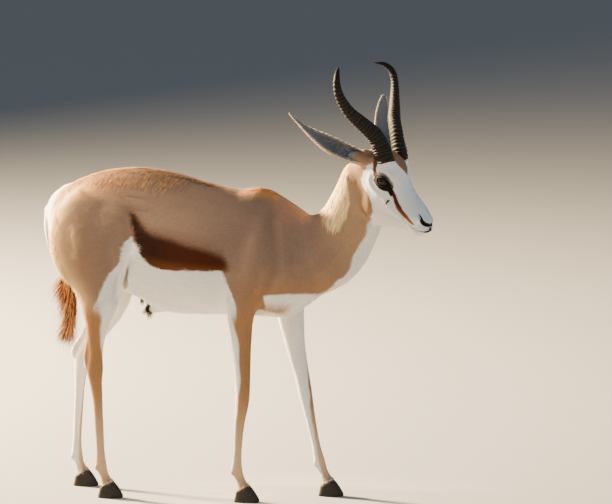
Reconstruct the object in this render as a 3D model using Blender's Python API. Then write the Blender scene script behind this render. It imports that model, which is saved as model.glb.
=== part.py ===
"""A springbok ram that stands and looks to its right, life size, as a museum shows one.

Metres, +Z up. The ram faces +X, its left side is +Y, and its eight claws stand on z = 0.
The flesh is modelled whole from swept lengths, and then parted by thin cuts into named pieces.
"""

import math

import bmesh
import bpy
import numpy as np
from mathutils import Matrix, Vector

GAP = 0.0003  # kept between pieces that touch
SKIN_VOXEL = 0.0036  # the grid on which the swept lengths of flesh grow into one
FLESH_SHARE = 0.066  # share of the skin's faces that are kept
BODY_SHARE = 0.43  # and then of those left, with only the body thinned and the head left as it is
SEED = 7

# Stations of the trunk from rump to chest: x, back line, belly line, half width, height of the widest line
TRUNK = (
    (-0.352, 0.722, 0.650, 0.024, 0.690),
    (-0.335, 0.744, 0.605, 0.050, 0.680),
    (-0.290, 0.773, 0.560, 0.084, 0.670),
    (-0.220, 0.800, 0.520, 0.103, 0.660),
    (-0.130, 0.811, 0.486, 0.108, 0.620),
    (-0.050, 0.803, 0.452, 0.117, 0.595),
    (0.040, 0.779, 0.448, 0.123, 0.585),
    (0.120, 0.763, 0.450, 0.117, 0.590),
    (0.190, 0.766, 0.448, 0.100, 0.600),
    (0.250, 0.737, 0.450, 0.085, 0.590),
    (0.310, 0.695, 0.488, 0.066, 0.580),
    (0.352, 0.650, 0.522, 0.040, 0.580),
)
BACK_PINCH, BELLY_PINCH = 1.15, 0.92  # over 1 draws a half of the section to a ridge, under 1 fills it

# Stations of the swept lengths: x, y, z of the middle, half depth fore and aft, half width
NECK = (
    (0.262, 0.000, 0.582, 0.096, 0.064),
    (0.345, 0.000, 0.618, 0.096, 0.064),
    (0.396, -0.006, 0.676, 0.079, 0.053),
    (0.424, -0.016, 0.738, 0.070, 0.047),
    (0.444, -0.030, 0.800, 0.058, 0.041),
    (0.462, -0.038, 0.832, 0.044, 0.034),
)
FORELEG_RIGHT = (
    (0.200, -0.058, 0.700, 0.034, 0.020),
    (0.197, -0.074, 0.640, 0.050, 0.031),
    (0.192, -0.080, 0.570, 0.055, 0.036),
    (0.156, -0.077, 0.508, 0.045, 0.034),
    (0.1435, -0.074, 0.461, 0.0345, 0.027),
    (0.144, -0.071, 0.408, 0.027, 0.0215),
    (0.1445, -0.069, 0.356, 0.0235, 0.0185),
    (0.146, -0.068, 0.290, 0.0205, 0.0165),
    (0.145, -0.067, 0.246, 0.0185, 0.0175),
    (0.139, -0.066, 0.205, 0.0150, 0.0145),
    (0.1345, -0.065, 0.157, 0.0125, 0.0115),
    (0.132, -0.065, 0.112, 0.0120, 0.0110),
    (0.131, -0.065, 0.080, 0.0148, 0.0138),
    (0.140, -0.065, 0.054, 0.0120, 0.0135),
    (0.150, -0.065, 0.030, 0.0158, 0.0180),
    (0.156, -0.065, 0.018, 0.0160, 0.0180),
)
FORELEG_LEFT = (
    (0.212, 0.058, 0.700, 0.034, 0.020),
    (0.222, 0.074, 0.640, 0.050, 0.031),
    (0.234, 0.079, 0.570, 0.055, 0.036),
    (0.232, 0.074, 0.508, 0.046, 0.034),
    (0.234, 0.070, 0.461, 0.037, 0.027),
    (0.2405, 0.067, 0.419, 0.0315, 0.0225),
    (0.250, 0.065, 0.365, 0.0250, 0.0190),
    (0.264, 0.063, 0.306, 0.0205, 0.0165),
    (0.274, 0.062, 0.255, 0.0185, 0.0175),
    (0.2835, 0.061, 0.210, 0.0150, 0.0145),
    (0.2935, 0.060, 0.164, 0.0128, 0.0115),
    (0.302, 0.060, 0.124, 0.0122, 0.0110),
    (0.3105, 0.060, 0.086, 0.0148, 0.0138),
    (0.3215, 0.060, 0.058, 0.0120, 0.0135),
    (0.334, 0.060, 0.031, 0.0158, 0.0180),
    (0.340, 0.060, 0.018, 0.0160, 0.0180),
)
HINDLEG_RIGHT = (
    (-0.205, -0.048, 0.735, 0.070, 0.040),
    (-0.232, -0.060, 0.670, 0.100, 0.052),
    (-0.232, -0.066, 0.605, 0.100, 0.050),
    (-0.216, -0.070, 0.550, 0.080, 0.045),
    (-0.210, -0.074, 0.494, 0.055, 0.036),
    (-0.2135, -0.076, 0.444, 0.036, 0.028),
    (-0.218, -0.077, 0.400, 0.0245, 0.0205),
    (-0.2195, -0.077, 0.360, 0.0190, 0.0160),
    (-0.222, -0.076, 0.318, 0.0215, 0.0170),
    (-0.2205, -0.075, 0.285, 0.0175, 0.0150),
    (-0.216, -0.075, 0.240, 0.0135, 0.0120),
    (-0.212, -0.075, 0.160, 0.0125, 0.0112),
    (-0.210, -0.075, 0.112, 0.0125, 0.0112),
    (-0.208, -0.075, 0.082, 0.0150, 0.0138),
    (-0.200, -0.075, 0.055, 0.0120, 0.0135),
    (-0.190, -0.075, 0.031, 0.0158, 0.0180),
    (-0.184, -0.075, 0.018, 0.0160, 0.0180),
)
HINDLEG_LEFT = (
    (-0.205, 0.048, 0.735, 0.070, 0.040),
    (-0.235, 0.060, 0.670, 0.100, 0.052),
    (-0.238, 0.066, 0.605, 0.098, 0.050),
    (-0.225, 0.070, 0.550, 0.080, 0.045),
    (-0.217, 0.073, 0.494, 0.057, 0.036),
    (-0.226, 0.075, 0.446, 0.040, 0.028),
    (-0.2465, 0.075, 0.404, 0.029, 0.0205),
    (-0.270, 0.075, 0.366, 0.0205, 0.0160),
    (-0.2915, 0.074, 0.325, 0.0215, 0.0170),
    (-0.2985, 0.074, 0.290, 0.0178, 0.0150),
    (-0.3015, 0.073, 0.245, 0.0137, 0.0120),
    (-0.3065, 0.073, 0.160, 0.0125, 0.0112),
    (-0.309, 0.073, 0.112, 0.0125, 0.0112),
    (-0.309, 0.073, 0.082, 0.0150, 0.0138),
    (-0.302, 0.073, 0.055, 0.0120, 0.0135),
    (-0.292, 0.073, 0.031, 0.0158, 0.0180),
    (-0.286, 0.073, 0.018, 0.0160, 0.0180),
)
HOCK_POINTS = (  # the tendon above each heel bone, down to its point
    ((-0.233, -0.078, 0.430, 0.010, 0.010), (-0.2385, -0.077, 0.380, 0.0085, 0.0085),
     (-0.2425, -0.076, 0.340, 0.0095, 0.0095), (-0.238, -0.076, 0.318, 0.008, 0.0085)),
    ((-0.262, 0.075, 0.425, 0.010, 0.010), (-0.288, 0.075, 0.385, 0.0085, 0.0085),
     (-0.3135, 0.074, 0.343, 0.0095, 0.0095), (-0.312, 0.074, 0.322, 0.008, 0.0085)),
)
SHEATH = (
    (-0.030, 0.000, 0.468, 0.014, 0.020),
    (-0.080, 0.000, 0.462, 0.014, 0.018),
    (-0.108, 0.000, 0.458, 0.012, 0.013),
    (-0.119, 0.000, 0.447, 0.007, 0.008),
)

# The head lies in a frame of its own: x from the eyes to the nose, z out of the forehead
HEAD_AT = Vector((0.5105, -0.060, 0.797))
HEAD_TURN, HEAD_DROP = math.radians(-23), math.radians(40)
# Stations from the back of the skull to the nose: x, top, bottom, half width above, half width below
HEAD = (
    (-0.100, 0.000, -0.048, 0.020, 0.018),
    (-0.085, 0.026, -0.080, 0.036, 0.030),
    (-0.055, 0.050, -0.104, 0.046, 0.036),
    (-0.025, 0.060, -0.115, 0.049, 0.037),
    (0.005, 0.055, -0.118, 0.046, 0.036),
    (0.035, 0.038, -0.112, 0.040, 0.033),
    (0.063, 0.026, -0.098, 0.032, 0.029),
    (0.091, 0.022, -0.078, 0.0260, 0.0255),
    (0.116, 0.018, -0.061, 0.0240, 0.0235),
    (0.135, 0.012, -0.051, 0.0235, 0.0220),
    (0.146, 0.001, -0.046, 0.0190, 0.0190),
    (0.152, -0.012, -0.038, 0.0110, 0.0110),
)
# Rounded masses of the head, one of each pair: middle and half sizes in the head's frame
HEAD_MASSES = (
    ((-0.032, 0.031, 0.026), (0.028, 0.023, 0.026)),  # foot of the horn
    ((-0.032, 0.000, 0.018), (0.040, 0.048, 0.038)),  # frontal bone
    ((-0.005, 0.031, 0.026), (0.028, 0.015, 0.017)),  # brow over the eye
    ((0.000, 0.024, -0.070), (0.042, 0.016, 0.038)),  # cheek muscle
    ((0.137, 0.013, -0.007), (0.015, 0.012, 0.013)),  # wing of the nostril
    ((0.144, 0.006, -0.019), (0.019, 0.014, 0.014)),  # upper lip
    ((0.132, 0.009, -0.046), (0.019, 0.010, 0.009)),  # lower lip and chin
    ((-0.076, 0.034, 0.004), (0.026, 0.020, 0.024)),  # root of the ear
)

# Round this point, in the head's frame, the masses blend more
CROWN, CROWN_REACH = (-0.072, 0.0, 0.022), 0.078

EYE_RADIUS = 0.0170
LID_THICKNESS = 0.0026
EYE_AT = Vector((0.001, 0.0345, 0.001))  # left eye, in the head's frame
EYE_LOOKS = Vector((0.30, 1.0, 0.10))
LID_OPENING = (0.0160, 0.0100)  # half length and half height between the lids

HORN_FOOT = (0.004, 0.034, 0.054)  # ahead of the eyes, out from the middle, above the eyes
# Path of a horn from its foot: back, out, up
HORN_PATH = (
    (0.000, -0.012, -0.026), (0.000, 0.000, 0.000), (-0.009, 0.003, 0.028), (-0.021, 0.012, 0.056),
    (-0.042, 0.035, 0.084), (-0.0575, 0.0595, 0.109), (-0.067, 0.0745, 0.132),
    (-0.0735, 0.085, 0.155), (-0.0775, 0.088, 0.178), (-0.0825, 0.081, 0.200),
    (-0.0925, 0.062, 0.2140), (-0.1075, 0.040, 0.2175),
)
# Thickness of a horn along its length, as a share of its foot's
HORN_TAPER = (
    (0.0, 1.0), (0.15, 0.94), (0.30, 0.84), (0.45, 0.71), (0.58, 0.57), (0.70, 0.45), (0.80, 0.34),
    (0.90, 0.22), (1.0, 0.02),
)
HORN_BASE = (0.0215, 0.0150)  # half thickness of the foot, the long way of its section and across it
HORN_TOE_IN = math.radians(35)  # turn of the section, so that its long way points in towards the nose
HORN_RINGS = 17
HORN_RING_RISE = 0.0022
HORN_RINGED = 0.80  # share of the length that carries rings
HORN_SUNK = 0.028  # length hidden in the head
HORN_SIDES = 10

# Ears: foot and tip measured from between the eyes as ahead, out, above,
# with the way that the cup opens at its foot and how far it is twisted at its tip
EAR_FOOT = (-0.058, 0.040, 0.046)
EAR_RIGHT = ((-0.166, 0.1875, 0.166), (0.94, -0.02, -0.02), math.radians(50))
EAR_LEFT = ((-0.147, 0.190, 0.184), (0.82, -0.57, 0.05), 0.0)
# Half width of an ear along its length
EAR_HALF_WIDTHS = (
    (0.0, 0.0170), (0.15, 0.0210), (0.35, 0.0250), (0.55, 0.0250), (0.72, 0.0212), (0.86, 0.0150),
    (0.95, 0.0090), (1.0, 0.0025),
)
EAR_SAG = 0.020
EAR_THICKNESS = 0.0026
EAR_ROLL = (math.radians(125), math.radians(47))  # half of the turn of its cup, at the foot and at the tip
EAR_ROOT_SUNK = 0.10  # share of its length that the foot reaches into the head

TAIL = (
    (-0.322, 0.000, 0.726, 0.013, 0.014),
    (-0.346, 0.000, 0.708, 0.012, 0.013),
    (-0.359, 0.000, 0.670, 0.0095, 0.0120),
    (-0.355, 0.000, 0.628, 0.0085, 0.0110),
    (-0.341, 0.000, 0.585, 0.0080, 0.0105),
    (-0.319, 0.000, 0.546, 0.0080, 0.0100),
    (-0.300, 0.000, 0.512, 0.0080, 0.0100),
    (-0.292, 0.000, 0.474, 0.0085, 0.0105),
    (-0.297, 0.000, 0.436, 0.0070, 0.0090),
    (-0.303, 0.000, 0.404, 0.0030, 0.0040),
)
TAIL_TUFT_TOP = 0.530
TAIL_LOCKS = 18
TAIL_LOCK_LENGTH = 0.078
TAIL_LOCK_HALF_WIDTH = 0.0075
TAIL_LOCK_RUN = Vector((-0.50, 0, -1.0))  # the way that the locks leave the tail, before they curl in again
TAIL_LOCK_CURL = Vector((0.38, 0, -0.04))

# Claws: lengths from the middle of the hoof's top
CLAW_TOE, CLAW_HEEL, CLAW_HEIGHT = 0.040, 0.024, 0.050
CLAW_HALF_WIDTH, CLAW_APART = 0.0085, 0.0095
CLAW_LEAN = 0.16  # share of its width that a claw loses up to its top
DEWCLAW_BACK, DEWCLAW_OUT, DEWCLAW_BELOW = 0.0130, 0.0075, 0.0080  # from the middle of the fetlock
DEWCLAW_HALVES = (0.0055, 0.0048, 0.0075)
CORONET_SLOPE = math.radians(30)
CORONET_HEIGHT = 0.031

COAT = {  # the colours of a plain solid: base colour and roughness
    "fawn": ((0.42, 0.25, 0.14), 0.85),
    "white": ((0.80, 0.77, 0.72), 0.85),
    "horn": ((0.030, 0.026, 0.024), 0.45),
    "claw": ((0.035, 0.030, 0.028), 0.5),
    "eye": ((0.012, 0.008, 0.006), 0.08),
    "ear": ((0.36, 0.30, 0.25), 0.85),
    "tuft": ((0.16, 0.07, 0.03), 0.8),
}


def clear_scene():
    for old in list(bpy.data.objects):
        bpy.data.objects.remove(old)


def finish_of(name):
    """The Principled material of that name, made once."""
    found = bpy.data.materials.get(name)
    if found:
        return found
    made = bpy.data.materials.new(name)
    made.use_nodes = True
    colour, roughness = COAT[name]
    shader = made.node_tree.nodes["Principled BSDF"]
    shader.inputs["Base Color"].default_value = (*colour, 1)
    shader.inputs["Roughness"].default_value = roughness
    shader.inputs["Metallic"].default_value = 0
    made.diffuse_color = (*colour, 1)
    return made


def new_object(name, bm):
    """Links the bmesh as an object with its faces pointing out."""
    bmesh.ops.recalc_face_normals(bm, faces=bm.faces)
    mesh = bpy.data.meshes.new(name)
    bm.to_mesh(mesh)
    bm.free()
    made = bpy.data.objects.new(name, mesh)
    bpy.context.scene.collection.objects.link(made)
    return made


def through(points, count):
    """count rows read evenly along the smooth curve through the rows of points."""
    rows = np.array(points, float)
    rows = np.vstack([2 * rows[0] - rows[1], rows, 2 * rows[-1] - rows[-2]])
    made = []
    for t in np.linspace(0, len(points) - 1, count):
        i = min(int(t), len(points) - 2)
        f = t - i
        a, b, c, d = rows[i : i + 4]
        bend, twist = 2 * a - 5 * b + 4 * c - d, 3 * b - a - 3 * c + d
        made.append(0.5 * (2 * b + (c - a) * f + bend * f**2 + twist * f**3))
    return np.array(made)


def skin_over(rings, name, flat=False):
    """A closed surface over a row of rings with like counts of points.

    Each end is capped by a fan, or on a flat leaf, whose rings run out and back, by a strip.
    """
    bm = bmesh.new()
    made = [[bm.verts.new(p) for p in ring] for ring in rings]
    sides = len(made[0])
    for low, high in zip(made, made[1:]):
        for i in range(sides):
            j = (i + 1) % sides
            bm.faces.new((low[i], low[j], high[j], high[i]))
    for ring, points in ((made[0], rings[0]), (made[-1], rings[-1])):
        if flat:
            for i in range(sides // 2 - 1):
                bm.faces.new((ring[i], ring[i + 1], ring[sides - 2 - i], ring[sides - 1 - i]))
            continue
        middle = bm.verts.new(np.mean(points, axis=0))
        for i in range(sides):
            bm.faces.new((ring[i], ring[(i + 1) % sides], middle))
    return new_object(name, bm)


def swept(name, stations, rings=40, sides=20):
    """A length of flesh: an oval section carried along the smooth line through its stations."""
    rows = through(stations, rings)
    line = rows[:, :3]
    runs = np.gradient(line, axis=0)
    around = np.linspace(0, 2 * math.pi, sides, endpoint=False)
    made = []
    for middle, run, (deep, wide) in zip(line, runs, rows[:, 3:5]):
        run = run / np.linalg.norm(run)
        side = np.array((0.0, 1.0, 0.0)) - run[1] * run
        side /= np.linalg.norm(side)
        fore = np.cross(side, run)
        made.append([middle + deep * math.cos(a) * fore + wide * math.sin(a) * side for a in around])
    return skin_over(made, name)


def trunk():
    """The barrel from rump to chest, in upright sections."""
    around = np.linspace(0, 2 * math.pi, 32, endpoint=False)
    made = []
    for x, top, bottom, wide, widest in through(TRUNK, 48):
        ring = []
        for a in around:
            c, s = math.cos(a), math.sin(a)
            pinch, reach = (BACK_PINCH, top - widest) if s > 0 else (BELLY_PINCH, widest - bottom)
            ring.append((x, wide * math.copysign(abs(c) ** pinch, c), widest + reach * s))
        made.append(ring)
    return skin_over(made, "trunk")


def head_turn():
    """The turn from the head's frame to the ram's."""
    return Matrix.Rotation(HEAD_TURN, 3, "Z") @ Matrix.Rotation(HEAD_DROP, 3, "Y")


def head_place(x, y, z):
    """A point of the head's frame, in the ram's frame."""
    return HEAD_AT + head_turn() @ Vector((x, y, z))


def level_place(ahead, left, above):
    """A point measured level from between the eyes, in the ram's frame."""
    return HEAD_AT + Matrix.Rotation(HEAD_TURN, 3, "Z") @ Vector((ahead, left, above))


def skull():
    """The head without its eyes, in sections across the line from eyes to nose."""
    around = np.linspace(0, 2 * math.pi, 28, endpoint=False)
    made = []
    for x, top, bottom, above, below in through(HEAD, 44):
        middle, half = (top + bottom) / 2, (top - bottom) / 2
        ring = []
        for a in around:
            c, s = math.cos(a), math.sin(a)
            wide = below + (above - below) * (0.5 + 0.5 * s)
            ring.append(head_place(x, wide * math.copysign(abs(c) ** 0.85, c), middle + half * s))
        made.append(ring)
    return skin_over(made, "skull")


def ball(name, middle, halves, turn=None, steps=3):
    """A rounded mass with the given half sizes."""
    bm = bmesh.new()
    bmesh.ops.create_icosphere(bm, subdivisions=steps, radius=1.0)
    place = Matrix.Translation(middle) @ (turn.to_4x4() if turn else Matrix.Identity(4))
    bmesh.ops.transform(bm, matrix=place @ Matrix.Diagonal((*halves, 1)), verts=bm.verts)
    return new_object(name, bm)


def head_masses():
    made = []
    for (x, y, z), halves in HEAD_MASSES:
        for side in (-1, 1):
            made.append(ball("mass", head_place(x, side * y, z), halves, head_turn()))
    for side in (-1, 1):
        radius = EYE_RADIUS + LID_THICKNESS
        made.append(ball("lids", eye_middle(side), (radius,) * 3))
    return made


def eye_middle(side):
    return head_place(EYE_AT.x, side * EYE_AT.y, EYE_AT.z)


def eye_axis(side):
    looks = Vector((EYE_LOOKS.x, side * EYE_LOOKS.y, EYE_LOOKS.z)).normalized()
    return head_turn() @ looks


def dewclaws():
    """The small spare claws behind each fetlock."""
    made = []
    for leg in (FORELEG_RIGHT, FORELEG_LEFT, HINDLEG_RIGHT, HINDLEG_LEFT):
        x, y, z = leg[-4][:3]
        for side in (-1, 1):
            middle = (x - DEWCLAW_BACK, y + side * DEWCLAW_OUT, z - DEWCLAW_BELOW)
            made.append(ball("dewclaw", middle, DEWCLAW_HALVES, steps=2))
    return made


def baked(obj):
    """Gives the object its evaluated mesh and clears its modifiers."""
    graph = bpy.context.evaluated_depsgraph_get()
    mesh = bpy.data.meshes.new_from_object(obj.evaluated_get(graph), depsgraph=graph)
    obj.modifiers.clear()
    obj.data = mesh
    return obj


def joined(pieces, name):
    """One mesh that holds the pieces as they are."""
    bm = bmesh.new()
    for piece in pieces:
        bm.from_mesh(piece.data)
        bpy.data.objects.remove(piece)
    return new_object(name, bm)


def flesh():
    """Grows the swept lengths into one closed skin, smooths it where they meet, and thins its faces."""
    lengths = [trunk(), skull(), swept("neck", NECK, 30, 28), swept("sheath", SHEATH, 14, 12)]
    for leg in (FORELEG_RIGHT, FORELEG_LEFT, HINDLEG_RIGHT, HINDLEG_LEFT):
        lengths.append(swept("leg", leg, 90, 20))
    lengths += [swept("hock", points, 12, 10) for points in HOCK_POINTS]
    lengths += head_masses() + dewclaws()
    whole = joined(lengths, "flesh")
    grow = whole.modifiers.new("grow", "REMESH")
    grow.mode, grow.voxel_size = "VOXEL", SKIN_VOXEL
    baked(whole)
    places = {
        "crown": lambda p: (p - head_place(*CROWN)).length < CROWN_REACH,
        "trunk": lambda p: p.z > 0.47 and p.x < 0.44,
        "head": lambda p: p.z > 0.60 and p.x >= 0.44,
        "body": lambda p: p.x < 0.43,
    }
    for group, wanted in places.items():
        members = [v.index for v in whole.data.vertices if wanted(v.co)]
        whole.vertex_groups.new(name=group).add(members, 1.0, "REPLACE")
    even = whole.modifiers.new("even", "SMOOTH")
    even.factor, even.iterations = 0.5, 4
    for group, times in (("trunk", 40), ("head", 12), ("crown", 30)):
        blend = whole.modifiers.new("blend_" + group, "SMOOTH")
        blend.factor, blend.iterations, blend.vertex_group = 0.5, times, group
    whole.modifiers.new("thin", "DECIMATE").ratio = FLESH_SHARE
    thin = whole.modifiers.new("thin_body", "DECIMATE")
    thin.ratio, thin.vertex_group = BODY_SHARE, "body"
    return baked(whole)


def grown(obj, by):
    """A copy whose every face is moved out by that much."""
    bm = bmesh.new()
    bm.from_mesh(obj.data)
    bm.normal_update()
    moved = []
    for v in bm.verts:
        normals = np.array([f.normal for f in v.link_faces])
        moved.append(Vector(np.linalg.lstsq(normals, np.full(len(normals), by), rcond=0.2)[0]))
    for v, move in zip(bm.verts, moved):
        v.co += move
    return new_object(obj.name + "_grown", bm)


def cut(obj, tool, operation="DIFFERENCE", keep=False):
    """Cuts the object with the tool, and then lets the tool go."""
    step = obj.modifiers.new("cut", "BOOLEAN")
    step.operation, step.solver, step.object = operation, "EXACT", tool
    baked(obj)
    if not keep:
        bpy.data.objects.remove(tool)
    return obj


def copied(obj, name):
    made = bpy.data.objects.new(name, obj.data.copy())
    bpy.context.scene.collection.objects.link(made)
    return made


def largest(obj):
    """Keeps the largest closed surface of the object."""
    bm = bmesh.new()
    bm.from_mesh(obj.data)
    left, shells = set(bm.verts), []
    while left:
        reach, shell = [left.pop()], []
        while reach:
            v = reach.pop()
            shell.append(v)
            for e in v.link_edges:
                other = e.other_vert(v)
                if other in left:
                    left.discard(other)
                    reach.append(other)
        shells.append(shell)
    shells.sort(key=len)
    for shell in shells[:-1]:
        bmesh.ops.delete(bm, geom=shell, context="VERTS")
    bm.to_mesh(obj.data)
    bm.free()
    return obj


def halved(obj, point, normal, name):
    """Parts the object by a plane: what lies ahead of it becomes a new object, with the gap between them."""
    ahead = copied(obj, name)
    for piece, facing in ((obj, 1), (ahead, -1)):
        bm = bmesh.new()
        bm.from_mesh(piece.data)
        direction = Vector(normal).normalized() * facing
        place = Vector(point) - direction * GAP / 2
        geometry = bm.verts[:] + bm.edges[:] + bm.faces[:]
        done = bmesh.ops.bisect_plane(
            bm, geom=geometry, dist=1e-7, plane_co=place, plane_no=direction, clear_outer=True
        )
        rim = [e for e in done["geom_cut"] if isinstance(e, bmesh.types.BMEdge)]
        filled = bmesh.ops.holes_fill(bm, edges=rim, sides=0)["faces"]
        bmesh.ops.triangulate(bm, faces=filled)
        bmesh.ops.recalc_face_normals(bm, faces=bm.faces)
        bm.to_mesh(piece.data)
        bm.free()
    return ahead


def zone(outline, wall, side):
    """A block that takes a leg out of the flesh: an outline seen from the side, and an inner wall.

    wall holds the wall's distance from the middle below and at the top, and the height where its lean starts.
    """
    near, far, knee = wall
    top = max(z for _, z in outline)

    def inner(z):
        return near if z <= knee else near + (far - near) * (z - knee) / (top - knee)

    bm = bmesh.new()
    inside = [bm.verts.new((x, 0, z)) for x, z in outline]
    outside = [bm.verts.new((x, side * 0.30, z)) for x, z in outline]
    for i in range(len(outline)):
        j = (i + 1) % len(outline)
        bm.faces.new((inside[i], inside[j], outside[j], outside[i]))
    for ring in (inside, outside):
        bm.faces.new(ring)
    geometry = bm.verts[:] + bm.edges[:] + bm.faces[:]
    bmesh.ops.bisect_plane(bm, geom=geometry, dist=1e-6, plane_co=(0, 0, knee), plane_no=(0, 0, 1))
    bmesh.ops.triangulate(bm, faces=bm.faces)
    for v in bm.verts:
        if abs(v.co.y) < 1e-6:
            v.co.y = side * inner(v.co.z)
    return new_object("zone", bm)


FORE_WALL = (0.034, 0.052, 0.470)
HIND_WALL = (0.014, 0.050, 0.540)
FORE_RIGHT_ZONE = (
    (0.060, -0.05), (0.060, 0.420), (0.100, 0.470), (0.118, 0.560), (0.130, 0.640), (0.160, 0.690),
    (0.200, 0.708), (0.240, 0.690), (0.262, 0.640), (0.266, 0.570), (0.245, 0.500), (0.215, 0.420),
    (0.215, -0.05),
)
FORE_LEFT_ZONE = (
    (0.180, -0.05), (0.180, 0.420), (0.160, 0.470), (0.155, 0.560), (0.158, 0.640), (0.180, 0.690),
    (0.218, 0.708), (0.256, 0.690), (0.284, 0.640), (0.300, 0.570), (0.294, 0.500), (0.284, 0.440),
    (0.420, 0.100), (0.420, -0.05),
)
HIND_ZONE = (
    (-0.110, -0.05), (-0.110, 0.420), (-0.128, 0.480), (-0.128, 0.600), (-0.140, 0.660), (-0.170, 0.705),
    (-0.215, 0.722), (-0.270, 0.712), (-0.330, 0.680), (-0.420, 0.640), (-0.420, -0.05),
)


def part_legs(body):
    """Takes the four legs out of the flesh, and each of them apart at the knee or hock."""
    legs = {}
    for name, outline, wall, side in (
        ("foreleg_right", FORE_RIGHT_ZONE, FORE_WALL, -1),
        ("foreleg_left", FORE_LEFT_ZONE, FORE_WALL, 1),
        ("hindleg_right", HIND_ZONE, HIND_WALL, -1),
        ("hindleg_left", HIND_ZONE, HIND_WALL, 1),
    ):
        block = zone(outline, wall, side)
        leg = cut(copied(body, name), block, "INTERSECT", keep=True)
        wider = grown(block, GAP)
        bpy.data.objects.remove(block)
        cut(body, wider)
        legs[name] = largest(leg)
    largest(body)
    return legs


def coronet(leg):
    """A point in the plane between a leg and its claws, and the plane's normal, pointing down."""
    x, y, z = leg[-2][:3]
    normal = Vector((math.sin(CORONET_SLOPE), 0, -math.cos(CORONET_SLOPE)))
    return Vector((x, y, CORONET_HEIGHT)), normal


JOINTS = {  # the stations at the knee or hock of each leg
    "foreleg_right": (FORELEG_RIGHT, 8),
    "foreleg_left": (FORELEG_LEFT, 8),
    "hindleg_right": (HINDLEG_RIGHT, 9),
    "hindleg_left": (HINDLEG_LEFT, 9),
}


def part_cannons(legs):
    """Parts each leg across its knee or hock, and trims it where the claws begin."""
    for name, (stations, joint) in JOINTS.items():
        middle = Vector(stations[joint][:3])
        below = Vector(stations[joint + 1][:3])
        cannon = halved(legs[name], middle, below - middle, name + "_cannon")
        waste = halved(cannon, *coronet(stations), "waste")
        bpy.data.objects.remove(waste)
        legs[name].name = name + "_upper"
        for piece in (legs[name], cannon):
            dress(largest(piece), "fawn")


def dress(obj, finish):
    obj.data.materials.clear()
    obj.data.materials.append(finish_of(finish))
    obj.data.shade_smooth()
    obj.data.set_sharp_from_angle(angle=math.radians(45))
    return obj


def claw(name, leg, side):
    """One claw of a cloven hoof: a flat sole with a pointed toe, and walls that lean in towards the top."""
    top, normal = coronet(leg)
    rings = []
    for level in (0.0, 0.12, 0.5, 1.0):
        ring = []
        lean = 1 - CLAW_LEAN * level
        for a in np.linspace(0, 2 * math.pi, 12, endpoint=False):
            c, s = math.cos(a), math.sin(a)
            reach = CLAW_TOE - 0.020 * level if c > 0 else CLAW_HEEL - 0.002 * level
            width = CLAW_HALF_WIDTH * (1 - 0.42 * max(c, 0) ** 2) * lean
            bevel = 0.92 if level == 0 else 1.0
            x = top.x + reach * c * bevel
            y = top.y + side * (CLAW_APART - 0.0032 * max(c, 0) * (1 - level)) + width * s * bevel
            ring.append((x, y, level * CLAW_HEIGHT))
        rings.append(ring)
    made = skin_over(rings, name)
    waste = halved(made, top, -normal, "waste")
    bpy.data.objects.remove(waste)
    return dress(made, "claw")


def claws():
    for name, (stations, _) in JOINTS.items():
        foot = name.replace("leg", "hoof")
        for side in (-1, 1):
            where = "outer" if side * stations[0][1] > 0 else "inner"
            claw(f"{foot}_{where}_claw", stations, side)


def horn(name, side, head):
    """A ringed horn: rings crowd at its foot, open out above, and leave the hooked tip smooth."""
    ahead, out, above = HORN_FOOT
    path = [level_place(ahead + b, side * (out + o), above + u) for b, o, u in HORN_PATH]
    rows = through(path, 240)
    along = np.concatenate([[0], np.cumsum(np.linalg.norm(np.diff(rows, axis=0), axis=1))])
    length = along[-1]
    ringed = HORN_RINGED * length
    levels, rises = [0.0], [0.0]
    foot = HORN_SUNK
    for i in range(HORN_RINGS):
        start = foot + (ringed - foot) * (i / HORN_RINGS) ** 1.12
        end = foot + (ringed - foot) * ((i + 1) / HORN_RINGS) ** 1.12
        rise = HORN_RING_RISE * (1 - 0.55 * i / HORN_RINGS)
        levels += [start, start + 0.62 * (end - start), start + 0.86 * (end - start)]
        rises += [0.0, rise * 0.75, rise]
    for t in np.linspace(0, 1, 9)[:-1]:
        levels.append(ringed + (length - ringed) * t)
        rises.append(0.0)
    levels.append(length)
    rises.append(0.0)
    runs = np.gradient(rows, axis=0)
    wing = np.array(level_place(math.sin(HORN_TOE_IN), side * math.cos(HORN_TOE_IN), 0) - HEAD_AT)
    rings = []
    for level, rise in zip(levels, rises):
        middle = np.array([np.interp(level, along, rows[:, k]) for k in range(3)])
        run = np.array([np.interp(level, along, runs[:, k]) for k in range(3)])
        run /= np.linalg.norm(run)
        across = wing - (wing @ run) * run
        across /= np.linalg.norm(across)
        fore = np.cross(across, run)
        taper = np.interp(level / length, *np.array(HORN_TAPER).T)
        ring = []
        for a in np.linspace(0, 2 * math.pi, HORN_SIDES, endpoint=False):
            swell = rise * (0.55 + 0.45 * math.cos(a))
            deep = HORN_BASE[0] * taper + swell
            wide = HORN_BASE[1] * taper + swell
            ring.append(middle + deep * math.cos(a) * fore + wide * math.sin(a) * across)
        rings.append(ring)
    made = skin_over(rings, name)
    cut(made, grown(head, GAP))
    return dress(largest(made), "horn")


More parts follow.
